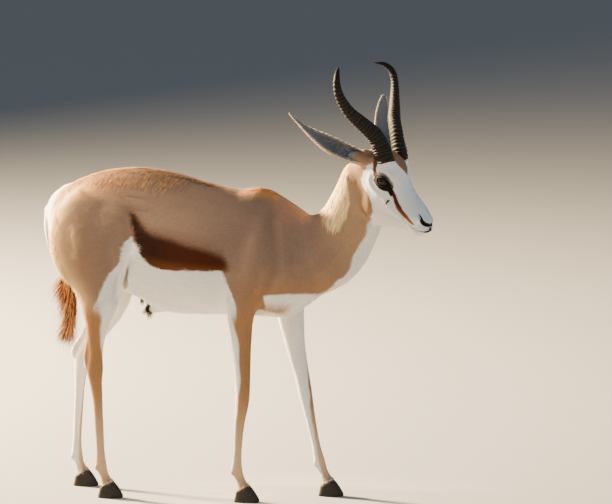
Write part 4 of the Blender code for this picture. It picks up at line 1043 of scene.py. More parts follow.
fur, _ = new_fur("coat_tufts")
SHORT_COUNT = 255000
SHORT_LENGTH, SHORT_WIDTH = 0.0100, 0.0018
MIDDLE_FROM, MIDDLE_TO = 0.06, -0.14  # where the body's coat is cut, along the body
density = 1.0 + 0.9 * parts["head"] + 0.5 * parts["leg"] + 0.3 * parts["neck"]
roots, facing = scatter(SHORT_COUNT, density)
keep = clear_of_face(roots + MOVED)
roots, facing = roots[keep], facing[keep]
drawn = roots + MOVED
count = len(roots)
root_parts = regions(drawn)
lie = lie_of(drawn, facing, root_parts)
across = np.cross(facing, lie)
lie = unit(lie + across * (random.normal(0, 0.09, count) + 0.06 * uneven(roots, 0.05))[:, None])
size = 1 - 0.62 * root_parts["head"] - 0.42 * root_parts["leg"] * step(0.45, 0.25, roots[:, 2])
size *= 1 - 0.35 * root_parts["head"] * step(0.06, 0.12, to_head(drawn)[:, 0])
white_rump = step(0.02, -0.02, drawn[:, 0] - at(RUMP_EDGE, roots[:, 2])) * (1 - root_parts["leg"])
size *= 1 + 0.5 * white_rump
bigger = 1.0
length = SHORT_LENGTH * size * random.uniform(0.75, 1.2, count) * bigger
width = SHORT_WIDTH * size**0.7 * random.uniform(0.7, 1.25, count) * bigger
lift = 0.05 + 0.04 * random.random(count) + 0.10 * white_rump
tints = coat_colour(drawn, root_parts)
# hair that would lie across the edge of a marking is shorter
tips = drawn + lie * length[:, None]
change = np.abs(coat_colour(tips, regions(tips)) - tints).max(1) / (tints.max(1) + 0.05)
length *= 1 - 0.62 * step(0.25, 0.8, change)
shapes = short_tufts(roots, facing, lie, length, width, lift)
tints *= random.uniform(0.93, 1.07, (count, 1)) * (1 + random.normal(0, 0.012, (count, 3)))
places = unwrap(drawn, root_parts)
x, y, z = drawn.T
on_head, on_leg = root_parts["head"] > 0.5, root_parts["leg"] > 0.5
on_neck = (root_parts["neck"] > 0.5) & ~on_head
rest = ~(on_head | on_leg | on_neck)
stretches = {
    "fore": rest & (x >= MIDDLE_FROM),
    "middle": rest & (x < MIDDLE_FROM) & (x >= MIDDLE_TO),
    "rear": rest & (x < MIDDLE_TO),
}
coats = {
    "coat_head": on_head,
    "coat_neck": on_neck,
    "coat_forelegs": on_leg & ~on_head & (x > 0),
    "coat_hindlegs": on_leg & ~on_head & (x <= 0),
}
for stretch, members in stretches.items():
    coats[f"coat_{stretch}_right"] = members & (y < 0)
    coats[f"coat_{stretch}_left"] = members & (y >= 0)
for name, members in coats.items():
    coat_piece(
        name, shapes[members], SHORT_CORNERS, tints[members], places[members], 1.04,
        facing[members],
    )

# Longer hair stands on the nape, on the ridge of the back, along the croup's crest, on the rump's
# white edge and on the brisket. It is made of bent locks; the nape's are painted golden with sunlight,
# and on the back's ridge about a third are painted bright as sunlit tips and a fifth dark as painted shade.
LONG_COUNT = 21000
HAIR_LENGTHS, HAIR_LIFTS = (0.028, 0.023, 0.021), (0.16, 0.30, 0.15)  # on the nape, the rump, elsewhere
HAIR_WIDTHS = (0.0017, 0.0010, 0.0014)  # on the nape, the back's ridge, elsewhere
NAPE_HAIR_SUNLIGHT, RIDGE_SUNLIT_TIPS, RIDGE_SHADE = (0.980, 0.680, 0.330), (0.58, 0.30, 0.11), (0.120, 0.078, 0.060)
x, y, z = skin_drawn.T
beside = np.abs(y)
nape = nape_of(skin_drawn, parts)
ridge = step(0.074, 0.020, beside) * step(0.755, 0.790, z) * step(0.02, -0.05, x) * step(-0.25, -0.20, x)
ridge = np.maximum(ridge, 0.5 * step(0.020, 0.008, beside) * step(0.735, 0.76, z) * step(0.26, 0.20, x))
rump = step(0.03, -0.01, x - at(RUMP_EDGE, z)) * step(0.44, 0.52, z)
rump = rump * (1 - parts["leg"]) * (1 - parts["tail"])
crest = step(0.05, 0.02, beside) * step(-0.18, -0.26, x) * step(0.74, 0.77, z)
chest = step(0.035, 0.01, beside) * step(0.56, 0.50, z) * step(0.16, 0.24, x) * (1 - parts["leg"])
hair = 4.5 * nape + 4.5 * ridge + 2.0 * rump + 0.9 * crest + 0.5 * chest
roots, facing = scatter(LONG_COUNT, hair + 1e-6)
drawn = roots + MOVED
count = len(roots)
x, y, z = drawn.T
root_parts = regions(drawn)
on_nape = nape_of(drawn, root_parts) > 0.1
on_rump = x < at(RUMP_EDGE, z) + 0.02
on_ridge = ~on_nape & ~on_rump & (z > 0.74) & (x < 0.28)
down_neck = flattened(np.array((-0.22, 0.0, -1.0)), facing)
to_sides = flattened(np.stack([np.full(count, -0.25), np.sign(y), np.full(count, -0.5)], 1), facing)
lie = np.where(on_nape[:, None], down_neck, lie_of(drawn, facing, root_parts))
lie = np.where((on_ridge & (x < 0.06))[:, None], to_sides, lie)
across = np.cross(facing, lie)
swing = random.normal(0, np.where(on_nape, 0.07, 0.13)) + np.where(on_nape, 0.10 * uneven(roots, 0.03), 0)
lie = unit(lie + across * swing[:, None])
length = np.where(on_nape, HAIR_LENGTHS[0], np.where(on_rump, *HAIR_LENGTHS[1:]))
length = length * random.uniform(0.65, 1.2, count) * np.where(on_nape, 0.75 + 0.4 * step(0.80, 0.68, z), 1)
width = np.where(on_nape, HAIR_WIDTHS[0], np.where(on_ridge, *HAIR_WIDTHS[1:]))
width = width * random.uniform(0.7, 1.3, count)
lift = np.where(on_nape, HAIR_LIFTS[0], np.where(on_rump, *HAIR_LIFTS[1:])) * random.uniform(0.5, 1.3, count)
droop = np.where(on_nape, 0.16, 0.05)
shapes = long_tufts(roots, facing, lie, length, width, lift, droop)
jitter = random.normal(0, 0.002, roots.shape)
tints = coat_colour(drawn + jitter, regions(drawn + jitter))
tints *= random.uniform(0.88, 1.12, (count, 1))
# painted sunlight on the nape's locks; on the ridge, painted sunlit tips and painted shade
sunlit_nape = np.array(NAPE_HAIR_SUNLIGHT) * random.uniform(0.7, 1.12, (count, 1))
sunlit_nape = np.where(random.random((count, 1)) < 0.2, sunlit_nape * 0.6, sunlit_nape)
tints = np.where(on_nape[:, None], sunlit_nape, tints)
chance = random.random((count, 1))
sunlit_tips = np.array(RIDGE_SUNLIT_TIPS) * random.uniform(0.6, 1.1, (count, 1))
tints = np.where(on_ridge[:, None] & (chance < 0.30), sunlit_tips, tints)
tints = np.where(on_ridge[:, None] & (chance > 0.78), np.array(RIDGE_SHADE), tints)
places = unwrap(drawn, root_parts)
on_rump &= ~on_nape
for name, members in (("nape", on_nape), ("rump", on_rump), ("back", ~on_nape & ~on_rump)):
    coat_piece(
        "hair_" + name, shapes[members], LONG_CORNERS, tints[members], places[members], 1.12,
        facing[members],
    )

# A few brushes of stiffer hair: black and cream ones hang at the sheath under the belly,
# and a few black bristles stand below the front of each eye. They are bent locks on the skin.
BRUSHES = (  # middle of the roots, their spread, the way they hang, length, count, colour
    ((-0.106, 0.0, 0.470), (0.007, 0.008, 0.003), (0.35, 0.0, -1.0), 0.024, 110, BLACK),
    ((-0.116, 0.0, 0.470), (0.004, 0.007, 0.003), (0.42, 0.0, -1.0), 0.032, 80, (0.60, 0.52, 0.38)),
    ((-0.126, 0.0, 0.472), (0.006, 0.008, 0.003), (-0.05, 0.0, -1.0), 0.017, 90, BLACK),
    (from_head((0.040, 0.030, -0.026)), (0.0040, 0.0015, 0.0022), (-0.55, 0.3, -1.0), 0.012, 9, BLACK),
    (from_head((0.040, -0.030, -0.026)), (0.0040, 0.0015, 0.0022), (-0.55, -0.3, -1.0), 0.012, 9, BLACK),
)
BRUSH_WIDTH, BRUSH_LIFT, BRUSH_DROOP = 0.0016, 0.10, 0.05
brush_rows = []
for middle, spread, hang, longest, count, tone in BRUSHES:
    spots = np.array(middle) + random.uniform(-1, 1, (count, 3)) * np.array(spread) - MOVED
    for spot in spots:
        found, out, _, _ = outer_skin.find_nearest(Vector(spot))
        way = unit(np.array(hang) + random.normal(0, 0.12, 3))
        side_on = unit(np.cross(way, np.cross(np.array(out), way)))
        brush_rows.append((np.array(found), side_on, way, longest * random.uniform(0.7, 1.2), tone))
roots, facing, lie, length, tints = (np.array(column) for column in zip(*brush_rows))
shapes = long_tufts(roots, facing, lie, length, BRUSH_WIDTH, BRUSH_LIFT, BRUSH_DROOP)
places = unwrap(roots + MOVED, regions(roots + MOVED))
coat_piece("brushes", shapes, LONG_CORNERS, tints, places, 1.0)

# The tail's tuft: long dark red-brown hair that fans back from the lower half of the tail, with a good third
# of its locks painted ginger as sunlit. Its locks are rooted round a thin dark core that stands for the tail
# itself.
TUFT_LINE = (
    (-0.316, 0.0, 0.545), (-0.302, 0.0, 0.512), (-0.294, 0.0, 0.474), (-0.298, 0.0, 0.436),
    (-0.303, 0.0, 0.410),
)
TUFT_BROWN, TUFT_SUNLIT_GINGER, TUFT_CORE = (0.090, 0.036, 0.017), (0.62, 0.31, 0.13), (0.050, 0.022, 0.012)
CORE_HALF_WIDTH, CORE_LEVELS, CORE_SIDES = 0.0074, 14, 16
TUFT_LOCKS, TUFT_STEPS, TUFT_OFF, TUFT_LIFT, SUNLIT_GINGER_SHARE = 1700, 60, 0.0055, 0.03, 0.42
line = line_through(TUFT_LINE, TUFT_STEPS)
pick = random.uniform(0, 0.96, TUFT_LOCKS) ** 1.1
turn = random.uniform(0, 2 * math.pi, TUFT_LOCKS)
centre = np.stack([np.interp(pick, np.linspace(0, 1, TUFT_STEPS), line[:, k]) for k in range(3)], 1)
out = np.stack([np.cos(turn), 0.75 * np.sin(turn), np.zeros(TUFT_LOCKS)], 1)
roots = centre + out * TUFT_OFF - MOVED
spread = random.uniform(0.10, 0.38, (TUFT_LOCKS, 1))
sweep = random.uniform(-0.95, -0.30, (TUFT_LOCKS, 1)) * np.array((1.0, 0.0, 0.0))
lie = unit(np.array((0.0, 0.0, -1.0)) + sweep + out * spread + random.normal(0, 0.05, (TUFT_LOCKS, 3)))
facing = flattened(out, lie)
length = random.uniform(0.050, 0.082, TUFT_LOCKS)
width = random.uniform(0.0008, 0.0019, TUFT_LOCKS)
shapes = long_tufts(roots, facing, lie, length, width, TUFT_LIFT, 0.0)
bend = random.uniform(0.05, 0.40, (TUFT_LOCKS, 1, 1)) * np.array((1.0, 0.0, -0.1))
for row, t in zip((slice(3, 6), slice(6, 9), slice(9, 10)), (0.30, 0.68, 1.0)):
    shapes[:, row] += (bend * t * t) * length[:, None, None]
tints = np.array(TUFT_BROWN) * random.uniform(0.35, 1.9, (TUFT_LOCKS, 1))
# painted sunlight: a share of the locks ginger over the tuft's own red-brown
sunlit_ginger = random.random((TUFT_LOCKS, 1)) < SUNLIT_GINGER_SHARE
tints = np.where(sunlit_ginger, np.array(TUFT_SUNLIT_GINGER) * random.uniform(0.6, 1.3, (TUFT_LOCKS, 1)), tints)
places = np.stack([0.05 + 0.9 * turn / (2 * math.pi), 0.05 + 0.9 * pick], 1)
coat_piece("tail_hair", shapes, LONG_CORNERS, tints, places, 1.1)
core = []
for i, middle in enumerate(line_through(TUFT_LINE, CORE_LEVELS)):
    wide = CORE_HALF_WIDTH * math.sin(math.pi * min(0.25 + 0.7 * i / (CORE_LEVELS - 1), 0.97))
    turns = np.linspace(0, 2 * math.pi, CORE_SIDES, endpoint=False)
    core.append([middle - MOVED + np.array((wide * math.cos(a), wide * math.sin(a), 0)) for a in turns])


def walls(count, sides):
    """Triangles of an open surface over that many rings of that many points."""
    made = []
    for r in range(count - 1):
        for s in range(sides):
            a, b = r * sides + s, r * sides + (s + 1) % sides
            made += [(a, b, b + sides), (a, b + sides, a + sides)]
    return made


def tube(rings):
    """Points and outward triangles of a closed surface over rings with like counts of points."""
    rings = np.array(rings)
    count, sides, _ = rings.shape
    points = np.vstack([rings.reshape(-1, 3), rings[0].mean(0), rings[-1].mean(0)])
    made = walls(count, sides)
    foot, head = count * sides, count * sides + 1
    top = (count - 1) * sides
    for s in range(sides):
        made.append((foot, (s + 1) % sides, s))
        made.append((head, top + s, top + (s + 1) % sides))
    triangles = np.array(made)
    a, b, c = (points[triangles[:, k]] for k in range(3))
    volume = np.einsum("ij,ij->i", a, np.cross(b, c)).sum()
    return points, triangles if volume > 0 else triangles[:, ::-1]


tail_core = mesh_from("tail_core", *tube(core))
paint_points(tail_core, np.tile(TUFT_CORE, (len(tail_core.data.vertices), 1)))
tail_core.data.materials.append(fur)
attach(tail_core, "root")
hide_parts("tail_tuft")

# The horns: dark ringed sheaths over bone cores. Rings crowd at the foot and open out above,
# uneven and stronger in front, and the hooked tips are smooth.
HORN_PATH = (
    (0.000, -0.012, -0.026), (0.000, 0.000, 0.000), (-0.009, 0.003, 0.028), (-0.021, 0.012, 0.056),
    (-0.042, 0.035, 0.084), (-0.0575, 0.0595, 0.109), (-0.067, 0.0745, 0.132),
    (-0.0735, 0.085, 0.155), (-0.0775, 0.088, 0.178), (-0.0825, 0.081, 0.200),
    (-0.0925, 0.062, 0.2140), (-0.1075, 0.040, 0.2175),
)
HORN_TAPER = (
    (0.0, 1.0), (0.15, 0.94), (0.30, 0.84), (0.45, 0.71), (0.58, 0.57), (0.70, 0.45), (0.80, 0.34),
    (0.90, 0.22), (1.0, 0.02),
)
HORN_BASE = (0.0215, 0.0150)
HORN_TOE_IN = math.radians(35)
HORN_RINGS, HORN_RINGED, HORN_SUNK = 29, 0.80, 0.014
HORN_SIDES, HORN_LEVELS = 40, 260
RING_HEIGHT, RING_CROWDING, RING_UNEVEN = 0.0031, 1.12, 0.0006
RING_RISE, RING_FALL = 0.80, 0.20
HORN_DARK, HORN_CREST_WEAR_AND_HIGHLIGHT = (0.0115, 0.0100, 0.0080), (0.034, 0.025, 0.015)

horn_finish, tree = new_material("horn_sheath", 0.55, 0.10)
grain = grain_of(tree, 420, 4, (1.0, 1.0, 0.18))
bump_from(tree, grain, 0.35, 0.0006)
colour_from_points(tree, grain, 0.6, 1.5)

for side, where in ((-1, "right"), (1, "left")):
    ahead, outer, above = HORN_FOOT
    path = [from_level((ahead + b, side * (outer + o), above + u)) for b, o, u in HORN_PATH]
    rows = line_through(path, 240)
    along = np.concatenate([[0], np.cumsum(np.linalg.norm(np.diff(rows, axis=0), axis=1))])
    whole = along[-1]
    ringed = HORN_RINGED * whole
    bounds = HORN_SUNK + (ringed - HORN_SUNK) * (np.arange(HORN_RINGS + 1) / HORN_RINGS) ** RING_CROWDING
    bounds[1:-1] += random.normal(0, RING_UNEVEN, HORN_RINGS - 1)
    runs = np.gradient(rows, axis=0)
    wing = LEVEL_FRAME @ np.array((math.sin(HORN_TOE_IN), side * math.cos(HORN_TOE_IN), 0))
    lean = random.normal(0, 0.0008, (HORN_RINGS + 1, 2))
    rings, crests = [], []
    angles = np.linspace(0, 2 * math.pi, HORN_SIDES, endpoint=False)
    for level in np.linspace(0, whole, HORN_LEVELS):
        middle = np.array([np.interp(level, along, rows[:, k]) for k in range(3)])
        run = unit(np.array([np.interp(level, along, runs[:, k]) for k in range(3)]))
        beside = unit(wing - (wing @ run) * run)
        fore = np.cross(beside, run)
        t = level / whole
        taper = at(HORN_TAPER, t)
        if side < 0:
            taper *= 1 - 0.30 * step(0.82, 0.96, t)
        else:
            taper *= 1 + 0.16 * step(0.25, 0.5, t) + 0.40 * step(0.72, 0.88, t) * step(1.0, 0.95, t)
        i = int(np.clip(np.searchsorted(bounds, level) - 1, 0, HORN_RINGS - 1))
        shift = lean[i, 0] * np.cos(angles) + lean[i, 1] * np.sin(angles)
        t = np.clip((level + shift - bounds[i]) / (bounds[i + 1] - bounds[i]), 0, 1)
        falls = np.maximum(0, 1 - ((t - RING_RISE) / RING_FALL) ** 1.3)
        crest = np.where(t < RING_RISE, (t / RING_RISE) ** 1.7, falls)
        crest = crest * (bounds[0] < level < bounds[-1])
        strength = RING_HEIGHT * (1 - 0.6 * i / HORN_RINGS) * (0.62 + 0.38 * np.cos(angles))
        grooves = 0.00022 * np.sin(11 * angles + 3 * i) + 0.00018 * np.sin(23 * angles - 2 * i)
        swell = strength * crest + grooves * taper
        deep = (HORN_BASE[0] + 0.0008) * taper + swell
        wide = (HORN_BASE[1] + 0.0012) * taper + 0.0008 * math.sin(math.pi * level / whole) + swell
        ring = middle + (deep * np.cos(angles))[:, None] * fore + (wide * np.sin(angles))[:, None] * beside
        rings.append(ring - MOVED)
        crests.append(crest)
    horn = mesh_from("horn_sheath_" + where, *tube(rings))
    crests = np.concatenate([np.array(crests).ravel(), [0, 0]])
    heights = np.concatenate([np.repeat(np.linspace(0, 1, HORN_LEVELS), HORN_SIDES), [0, 1]])
    # the ring crests are lighter: painted highlight, and partly worn horn
    tone = np.array(HORN_DARK) + np.array(HORN_CREST_WEAR_AND_HIGHLIGHT) * (crests**4)[:, None]
    tone *= (1 - 0.35 * step(0.55, 0.9, heights))[:, None]
    paint_points(horn, tone)
    horn.data.materials.append(horn_finish)
    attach(horn, "root")
    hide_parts("horn_" + where)

# The ears: long cupped leaves of skin with short hair outside, a pale fringe along both edges,
# and long white hair inside at the foot. Their gristle is about two millimetres thick.
EAR_WALL = 0.0019
EAR_STEPS, EAR_FOLDS = 50, 26
EAR_SUNK, EAR_RUN = -0.20, 1.20  # where the cup starts within the head, and its whole length, as shares
EAR_OUT, EAR_IN, EAR_RIM = (0.290, 0.200, 0.140), (0.175, 0.178, 0.182), (0.620, 0.520, 0.400)
FRINGE_EDGE, FRINGE_FOOT = 500, 260  # how many locks stand along the edges, and within the cup's foot
FRINGE_LENGTHS, FRINGE_LIFT, FRINGE_DROOP = (0.0085, 0.016), 0.15, 0.05
EAR_HAIR = (  # inner face, name, count, from, to, length, width, lift, colour
    (False, "out", 5200, 0.0, 0.985, 0.0085, 0.0017, 0.10, EAR_OUT),
    (True, "in", 2600, 0.05, 0.97, 0.0070, 0.0012, 0.12, EAR_IN),
)


def ear_root_tone(where, share):
    """The colour within the foot of an ear's cup, at shares across it: white below, fawn above."""
    upper = step(0.60, 0.35, share) if where == "right" else step(0.40, 0.65, share)
    return blend(EAR_WHITE, EAR_ROOT_FAWN, upper)


def ear_places(t, j):
    """Unwrapped places on an ear."""
    return np.stack([0.03 + 0.94 * j, 0.03 + 0.94 * np.clip(t, 0, 1)], 1)


for where in EARS:
    grid = np.zeros((2, EAR_STEPS, EAR_FOLDS + 1, 3))
    ways = np.zeros((EAR_STEPS, EAR_FOLDS + 1, 3))
    for i in range(EAR_STEPS):
        t = EAR_RUN * i / (EAR_STEPS - 1) + EAR_SUNK
        middle, run, front, across, radius, spread = ear_section(where, t)
        narrow = 0.55 * float(step(-0.02, -0.18, t))
        middle = middle - front * radius * EAR_SET * narrow
        radius *= 1 - narrow
        for j in range(EAR_FOLDS + 1):
            a = spread * (2 * j / EAR_FOLDS - 1)
            way = -front * math.cos(a) + across * math.sin(a)
            ripple = 0.0005 * math.sin(5 * a) * (1 - t)
            grid[0, i, j] = middle + way * (radius + ripple) - MOVED
            grid[1, i, j] = middle + way * (radius + ripple - EAR_WALL * (1 - 0.6 * max(t, 0))) - MOVED
            ways[i, j] = way
    rings = np.concatenate([grid[0], grid[1][:, ::-1]], axis=1)
    shell = mesh_from("ear_shell_" + where, *tube(rings))
    level = np.clip(EAR_RUN * np.arange(EAR_STEPS) / (EAR_STEPS - 1) + EAR_SUNK, 0, 1)
    level = level[:, None] * np.ones(EAR_FOLDS + 1)
    edge = np.abs(2 * np.arange(EAR_FOLDS + 1) / EAR_FOLDS - 1)[None] * np.ones((EAR_STEPS, 1))
    share = np.arange(EAR_FOLDS + 1)[None] / EAR_FOLDS * np.ones((EAR_STEPS, 1))
    outside = blend(EAR_OUT, EAR_RIM, 0.6 * step(0.80, 1.0, edge))
    inside = blend(EAR_IN, EAR_RIM, 0.75 * step(0.72, 1.0, edge))
    inside = blend(inside, ear_root_tone(where, share), 0.9 * step(0.34, 0.16, level))
    tints = np.concatenate([outside, inside[:, ::-1]], axis=1).reshape(-1, 3)
    paint_points(shell, np.vstack([tints, EAR_OUT, EAR_OUT]))
    shell.data.materials.append(fur)
    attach(shell, "root")
    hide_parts("ear_" + where)

    def on_ear(t, j, inner):
        """Places and outward ways on the ear at shares along it and across it."""
        i = np.clip((t - EAR_SUNK) / EAR_RUN * (EAR_STEPS - 1), 0, EAR_STEPS - 1.001)
        k = np.clip(j * EAR_FOLDS, 0, EAR_FOLDS - 0.001)
        low_i, low_k = i.astype(int), k.astype(int)
        past_i, past_k = (i - low_i)[:, None], (k - low_k)[:, None]
        face = grid[1 if inner else 0]
        spot = (face[low_i, low_k] * (1 - past_i) + face[low_i + 1, low_k] * past_i) * (1 - past_k)
        spot = spot + (face[low_i, low_k + 1] * (1 - past_i) + face[low_i + 1, low_k + 1] * past_i) * past_k
        return spot, ways[low_i, low_k] * (-1 if inner else 1)

    for inner, face_name, count, first, last, longest, widest, lift, tone in EAR_HAIR:
        t, j = random.uniform(first, last, count), random.uniform(0.0, 1.0, count)
        roots, facing = on_ear(t, j, inner)
        lie = unit(run + random.normal(0, 0.16, (count, 3)))
        lie = flattened(lie, facing)
        size = random.uniform(0.7, 1.2, count) * (1 - 0.45 * t)
        shapes = short_tufts(roots, facing, lie, longest * size, widest * size**0.5, lift)
        tints = blend(tone, EAR_RIM, 0.7 * step(0.78, 1.0, np.abs(2 * j - 1)))
        if inner:
            at_root = 0.9 * step(0.36, 0.16, t + random.normal(0, 0.03, count))
            tints = blend(tints, ear_root_tone(where, j), at_root)
        tints = tints * random.uniform(0.82, 1.18, (count, 1))
        name = f"ear_hair_{face_name}_{where}"
        coat_piece(name, shapes, SHORT_CORNERS, tints, ear_places(t, j), 1.1)
    count = FRINGE_EDGE + FRINGE_FOOT
    at_edge = np.arange(count) < FRINGE_EDGE
    t = np.concatenate([random.uniform(0.04, 0.98, FRINGE_EDGE), random.uniform(-0.02, 0.30, FRINGE_FOOT)])
    j = np.where(random.random(FRINGE_EDGE) < 0.5, 0.004, 0.996)
    j = np.concatenate([j, random.uniform(0.05, 0.95, FRINGE_FOOT)])
    roots, facing = on_ear(t, j, True)
    inward = np.where(j < 0.5, 1.0, -1.0)[:, None] * np.where(at_edge, 1, 0)[:, None]
    lie = unit(run + 0.55 * inward * across + 0.25 * front + random.normal(0, 0.12, (count, 3)))
    facing = flattened(facing, lie)
    size = np.where(at_edge, *FRINGE_LENGTHS) * random.uniform(0.6, 1.2, count)
    size = size * (1 - 0.4 * np.clip(t, 0, 1))
    shapes = long_tufts(roots, facing, lie, size, size * 0.10 + 0.0005, FRINGE_LIFT, FRINGE_DROOP)
    tone = np.where(at_edge[:, None], EAR_RIM, np.array(EAR_WHITE) * 1.3)
    tints = tone * random.uniform(0.85, 1.15, (count, 1))
    coat_piece("ear_fringe_" + where, shapes, LONG_CORNERS, tints, ear_places(t, j), 1.1)

# The eyes: dark wet balls with a wide bowed pupil, a clear bulge in front, and black lids round them.
# The lids are rolled rims that run out into the skin, with lashes along the upper one and painted shade on
# their upper outer part.
eye_finish, tree = new_material("wet_eye", 0.06, 0.30)
colour_from_points(tree)
lid_finish, tree = new_material("bare_lid", 0.65, 0.08)
colour_from_points(tree)
bump_from(tree, grain_of(tree, 900, 2), 0.4, 0.0004)
LID_LENGTH, LID_HEIGHT, LID_SPREAD = math.radians(50), math.radians(22), math.radians(26)
LID_THICK, LID_GROOVE, LID_TUCK = 0.0022, 0.0010, 0.0022
LID_SIDES, LID_LEVELS = 72, np.linspace(0, 1, 11)
LID_BLACK, LID_UPPER_SHADE = (0.003, 0.0025, 0.0025), (0.034, 0.040, 0.052)
EYE_RIM_TONE, IRIS_TONE, PUPIL_TONE = (0.010, 0.008, 0.007), (0.012, 0.005, 0.003), (0.002, 0.003, 0.005)
CORNEA_BULGE = 0.0009
LASH_LENGTHS, LASH_WIDTH, LASH_DROOP = (0.004, 0.008), 0.0005, 0.15
lash_roots, lash_ways, lash_lies = [], [], []
for side, where, eye, way in zip((-1, 1), ("right", "left"), EYES, EYE_WAYS):
    centre = eye - MOVED
    bpy.ops.object.select_all(action="DESELECT")
    ball_radius = EYE_RADIUS - 0.0004
    bpy.ops.mesh.primitive_uv_sphere_add(segments=64, ring_count=40, radius=ball_radius, location=centre)
    ball = bpy.context.object
    ball.name = "eyeball_" + where
    bpy.ops.object.transform_apply(location=True)
    bpy.ops.object.shade_smooth()
    spots, _ = arrays_of(ball.data)
    spoke = unit(spots - centre)
    turned = np.degrees(np.arccos(np.clip(spoke @ way, -1, 1)))
    spots += spoke * (CORNEA_BULGE * np.exp(-((turned / 30) ** 4)))[:, None]
    ball.data.vertices.foreach_set("co", spots.astype(np.float32).ravel())
    upward = unit(HEAD_FRAME @ np.array((-0.17, 0, 1.0)))
    upward = unit(upward - (upward @ way) * way)
    forward = np.cross(way, upward) * side
    u, v = spoke @ forward, spoke @ upward
    iris = step(42, 38, turned)[:, None]
    pupil = step(1.05, 0.9, np.hypot(u / 0.42, v / 0.20))[:, None] * (spoke @ way > 0)[:, None]
    tones = np.array(EYE_RIM_TONE) * (1 - iris) + iris * np.array(IRIS_TONE)
    tones = tones * (1 - pupil) + pupil * np.array(PUPIL_TONE)
    paint_points(ball, tones)
    ball.data.materials.append(eye_finish)
    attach(ball, "root")
    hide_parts("eye_" + where)

    rings = []
    for k, s in enumerate(LID_LEVELS):
        ring = []
        for a in np.linspace(0, 2 * math.pi, LID_SIDES, endpoint=False):
            ahead, above = math.cos(a), math.sin(a)
            half_length = LID_LENGTH * (1.12 if ahead > 0 else 1.0)
            half_height = LID_HEIGHT * (1.0 if above > 0 else 0.86)
            opening = 1 / math.sqrt((ahead / half_length) ** 2 + (above / half_height) ** 2)
            opening *= 1 - 0.10 * (abs(math.sin(2 * a)) ** 2) * 0.8
            theta = opening + s * LID_SPREAD
            off_axis = forward * ahead + upward * above
            direction = way * math.cos(theta) + off_axis * math.sin(theta)
            hit = outer_skin.ray_cast(Vector(centre), Vector(direction), 0.04)[3]
            over = (hit or EYE_RADIUS + 0.002) + 0.0004
            rim = EYE_RADIUS + 0.0002 + LID_THICK * math.sin(min(s / 0.22, 1) * math.pi / 2)
            far = rim + (over - rim) * float(step(0.15, 0.85, s))
            far -= LID_GROOVE * math.exp(-(((s - 0.42) / 0.10) ** 2)) * (1.0 if above > 0 else 0.5)
            far -= LID_TUCK * float(step(0.85, 1.0, s))
            ring.append(centre + direction * far)
            if k == 1 and above > 0.1:
                lash_roots.append(ring[-1])
                lash_ways.append(direction)
                lash_lies.append(unit(direction * 0.9 + off_axis * 0.5 - upward * 0.15))
        rings.append(ring)
    rings.insert(0, [centre + (np.array(q) - centre) * 0.93 for q in rings[0]])
    flat = np.array(rings).reshape(-1, 3)
    faces = np.array(walls(len(rings), LID_SIDES))
    if ((flat - centre) * normals_of(flat, faces)).sum() < 0:
        faces = faces[:, ::-1]
    lids = mesh_from("lids_" + where, flat, faces)
    # painted shade: the upper outer part of the lids turns grey-blue
    high_up = ((flat - centre) @ upward) / EYE_RADIUS
    spread_out = np.repeat(np.concatenate([[0], LID_LEVELS]), LID_SIDES)
    share = (step(0.30, 0.65, high_up) * step(0.50, 0.95, spread_out))[:, None]
    paint_points(lids, np.array(LID_BLACK) * (1 - share) + np.array(LID_UPPER_SHADE) * share)
    lids.data.materials.append(lid_finish)
    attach(lids, "root")

lash_roots, lash_ways, lash_lies = map(np.array, (lash_roots, lash_ways, lash_lies))
lash_roots = np.repeat(lash_roots, 2, axis=0)
lash_ways = np.repeat(lash_ways, 2, axis=0)
lash_lies = unit(np.repeat(lash_lies, 2, axis=0) + random.normal(0, 0.16, (len(lash_roots), 3)))
count = len(lash_roots)
facing = flattened(lash_ways, lash_lies)
length = random.uniform(*LASH_LENGTHS, count)
shapes = long_tufts(lash_roots, facing, lash_lies, length, LASH_WIDTH, 0.0, LASH_DROOP)
places = unwrap(lash_roots + MOVED, regions(lash_roots + MOVED))
coat_piece("lashes", shapes, LONG_CORNERS, np.tile(BLACK, (count, 1)), places, 1.0)

# The claws: one pair to a foot, of dark horn worn at the edges, with growth lines that follow the
# coronet. The front wall slopes forward to the toe, and the flat sole stands on the floor.
CLAW_TOE, CLAW_HEEL, CLAW_HALF_WIDTH, CLAW_LEAN = 0.040, 0.024, 0.0085, 0.16
CORONET_SLOPE, CORONET_HEIGHT = math.radians(30), 0.031
CLAW_SIDES, CLAW_LEVELS = 36, 26
TOE_SLOPE, HEEL_SLOPE, TOE_IN = 0.029, 0.006, 0.0032
GROWTH_HEIGHT, GROWTH_WAVES = 0.00022, 46
claw_finish, tree = new_material("claw_horn", 0.45, 0.25)
growth_lines = grain_of(tree, 90, 5, (0.5, 0.5, 3.0))
ramp = tree.nodes.new("ShaderNodeValToRGB")
ramp.color_ramp.elements[0].color = (0.0045, 0.004, 0.004, 1)
ramp.color_ramp.elements[1].color = (0.020, 0.016, 0.013, 1)
ramp.color_ramp.elements[1].position = 0.85
tree.links.new(growth_lines, ramp.inputs["Fac"])
tree.links.new(ramp.outputs["Color"], tree.nodes["Principled BSDF"].inputs["Base Color"])
bump_from(tree, growth_lines, 0.5, 0.0008)

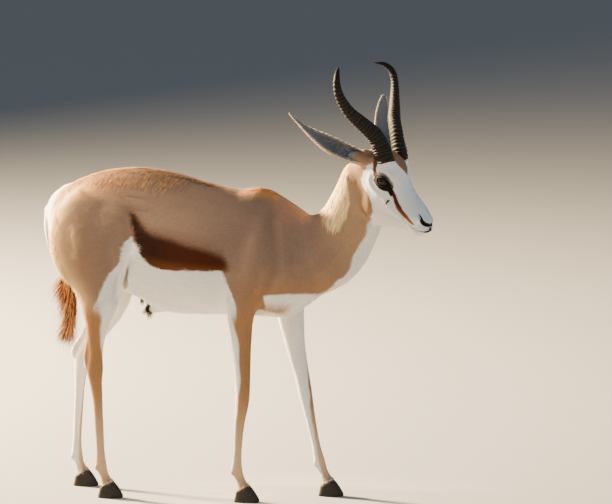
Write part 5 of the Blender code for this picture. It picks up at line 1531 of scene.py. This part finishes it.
coronet_rows = []
for pair in ("fore", "hind"):
    for side, where in ((-1, "right"), (1, "left")):
        for which in ("inner", "outer"):
            node = f"{pair}hoof_{where}_{which}_claw"
            low, high = (np.array(c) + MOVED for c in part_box(node))
            turn = side if which == "outer" else -side
            middle_x = low[0] + CLAW_HEEL * 0.92 + 0.0003
            middle_y = high[1] - CLAW_HALF_WIDTH if turn < 0 else low[1] + CLAW_HALF_WIDTH
            rings = []
            for k in range(CLAW_LEVELS):
                level = k / (CLAW_LEVELS - 1)
                lean = 1 - CLAW_LEAN * level
                growth = GROWTH_HEIGHT * math.sin(level * GROWTH_WAVES)
                bevel = 0.90 + 0.10 * min(level / 0.12, 1) ** 0.5
                ring = []
                for a in np.linspace(0, 2 * math.pi, CLAW_SIDES, endpoint=False):
                    c, s = math.cos(a), math.sin(a)
                    reach = CLAW_TOE - TOE_SLOPE * level if c > 0 else CLAW_HEEL - HEEL_SLOPE * level
                    wide = CLAW_HALF_WIDTH * (1 - 0.42 * max(c, 0) ** 2) * lean + growth
                    px = middle_x + (reach + growth) * c * bevel
                    py = middle_y - turn * TOE_IN * max(c, 0) * (1 - level) + wide * s * bevel
                    slope = math.tan(CORONET_SLOPE) * (px - middle_x)
                    pz = level * (CORONET_HEIGHT + slope + 0.0035)
                    ring.append((px - MOVED[0], py - MOVED[1], max(pz, 0)))
                rings.append(ring)
            claw = mesh_from(f"claw_{pair}_{where}_{which}", *tube(rings))
            claw.data.materials.append(claw_finish)
            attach(claw, "root")
            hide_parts(node)
            coronet = np.array(rings[-1])
            middle = coronet.mean(0)
            for _ in range(2 * CLAW_SIDES):
                spot = coronet[random.integers(CLAW_SIDES)] + random.normal(0, 0.0008, 3)
                way = unit((spot - middle) * (1, 1, 0))
                coronet_rows.append((spot - way * 0.0022 + (0, 0, 0.005), way))

# The coronets: short hair of the pastern hangs over the top of each claw and hides the joint.
# It takes the colour of the leg a little higher up.
CORONET_HAIR_WIDTH, CORONET_HAIR_LIFT = 0.0021, 0.12
PASTERN_AT = 0.056  # the height that the hair's colour is read at
roots, facing = (np.array(column) for column in zip(*coronet_rows))
roots_drawn = roots + MOVED
lie = unit(np.array((0.0, 0.0, -1.0)) + facing * 0.22 + random.normal(0, 0.08, roots.shape))
facing = flattened(facing, lie)
length = random.uniform(0.007, 0.012, len(roots))
shapes = short_tufts(roots, facing, lie, length, CORONET_HAIR_WIDTH, CORONET_HAIR_LIFT)
pastern = roots_drawn * (1, 1, 0) + (0, 0, PASTERN_AT)
tints = coat_colour(pastern, regions(pastern)) * random.uniform(0.75, 1.05, (len(roots), 1))
places = unwrap(roots_drawn, regions(roots_drawn))
coat_piece("coat_coronets", shapes, SHORT_CORNERS, tints, places, 1.0)
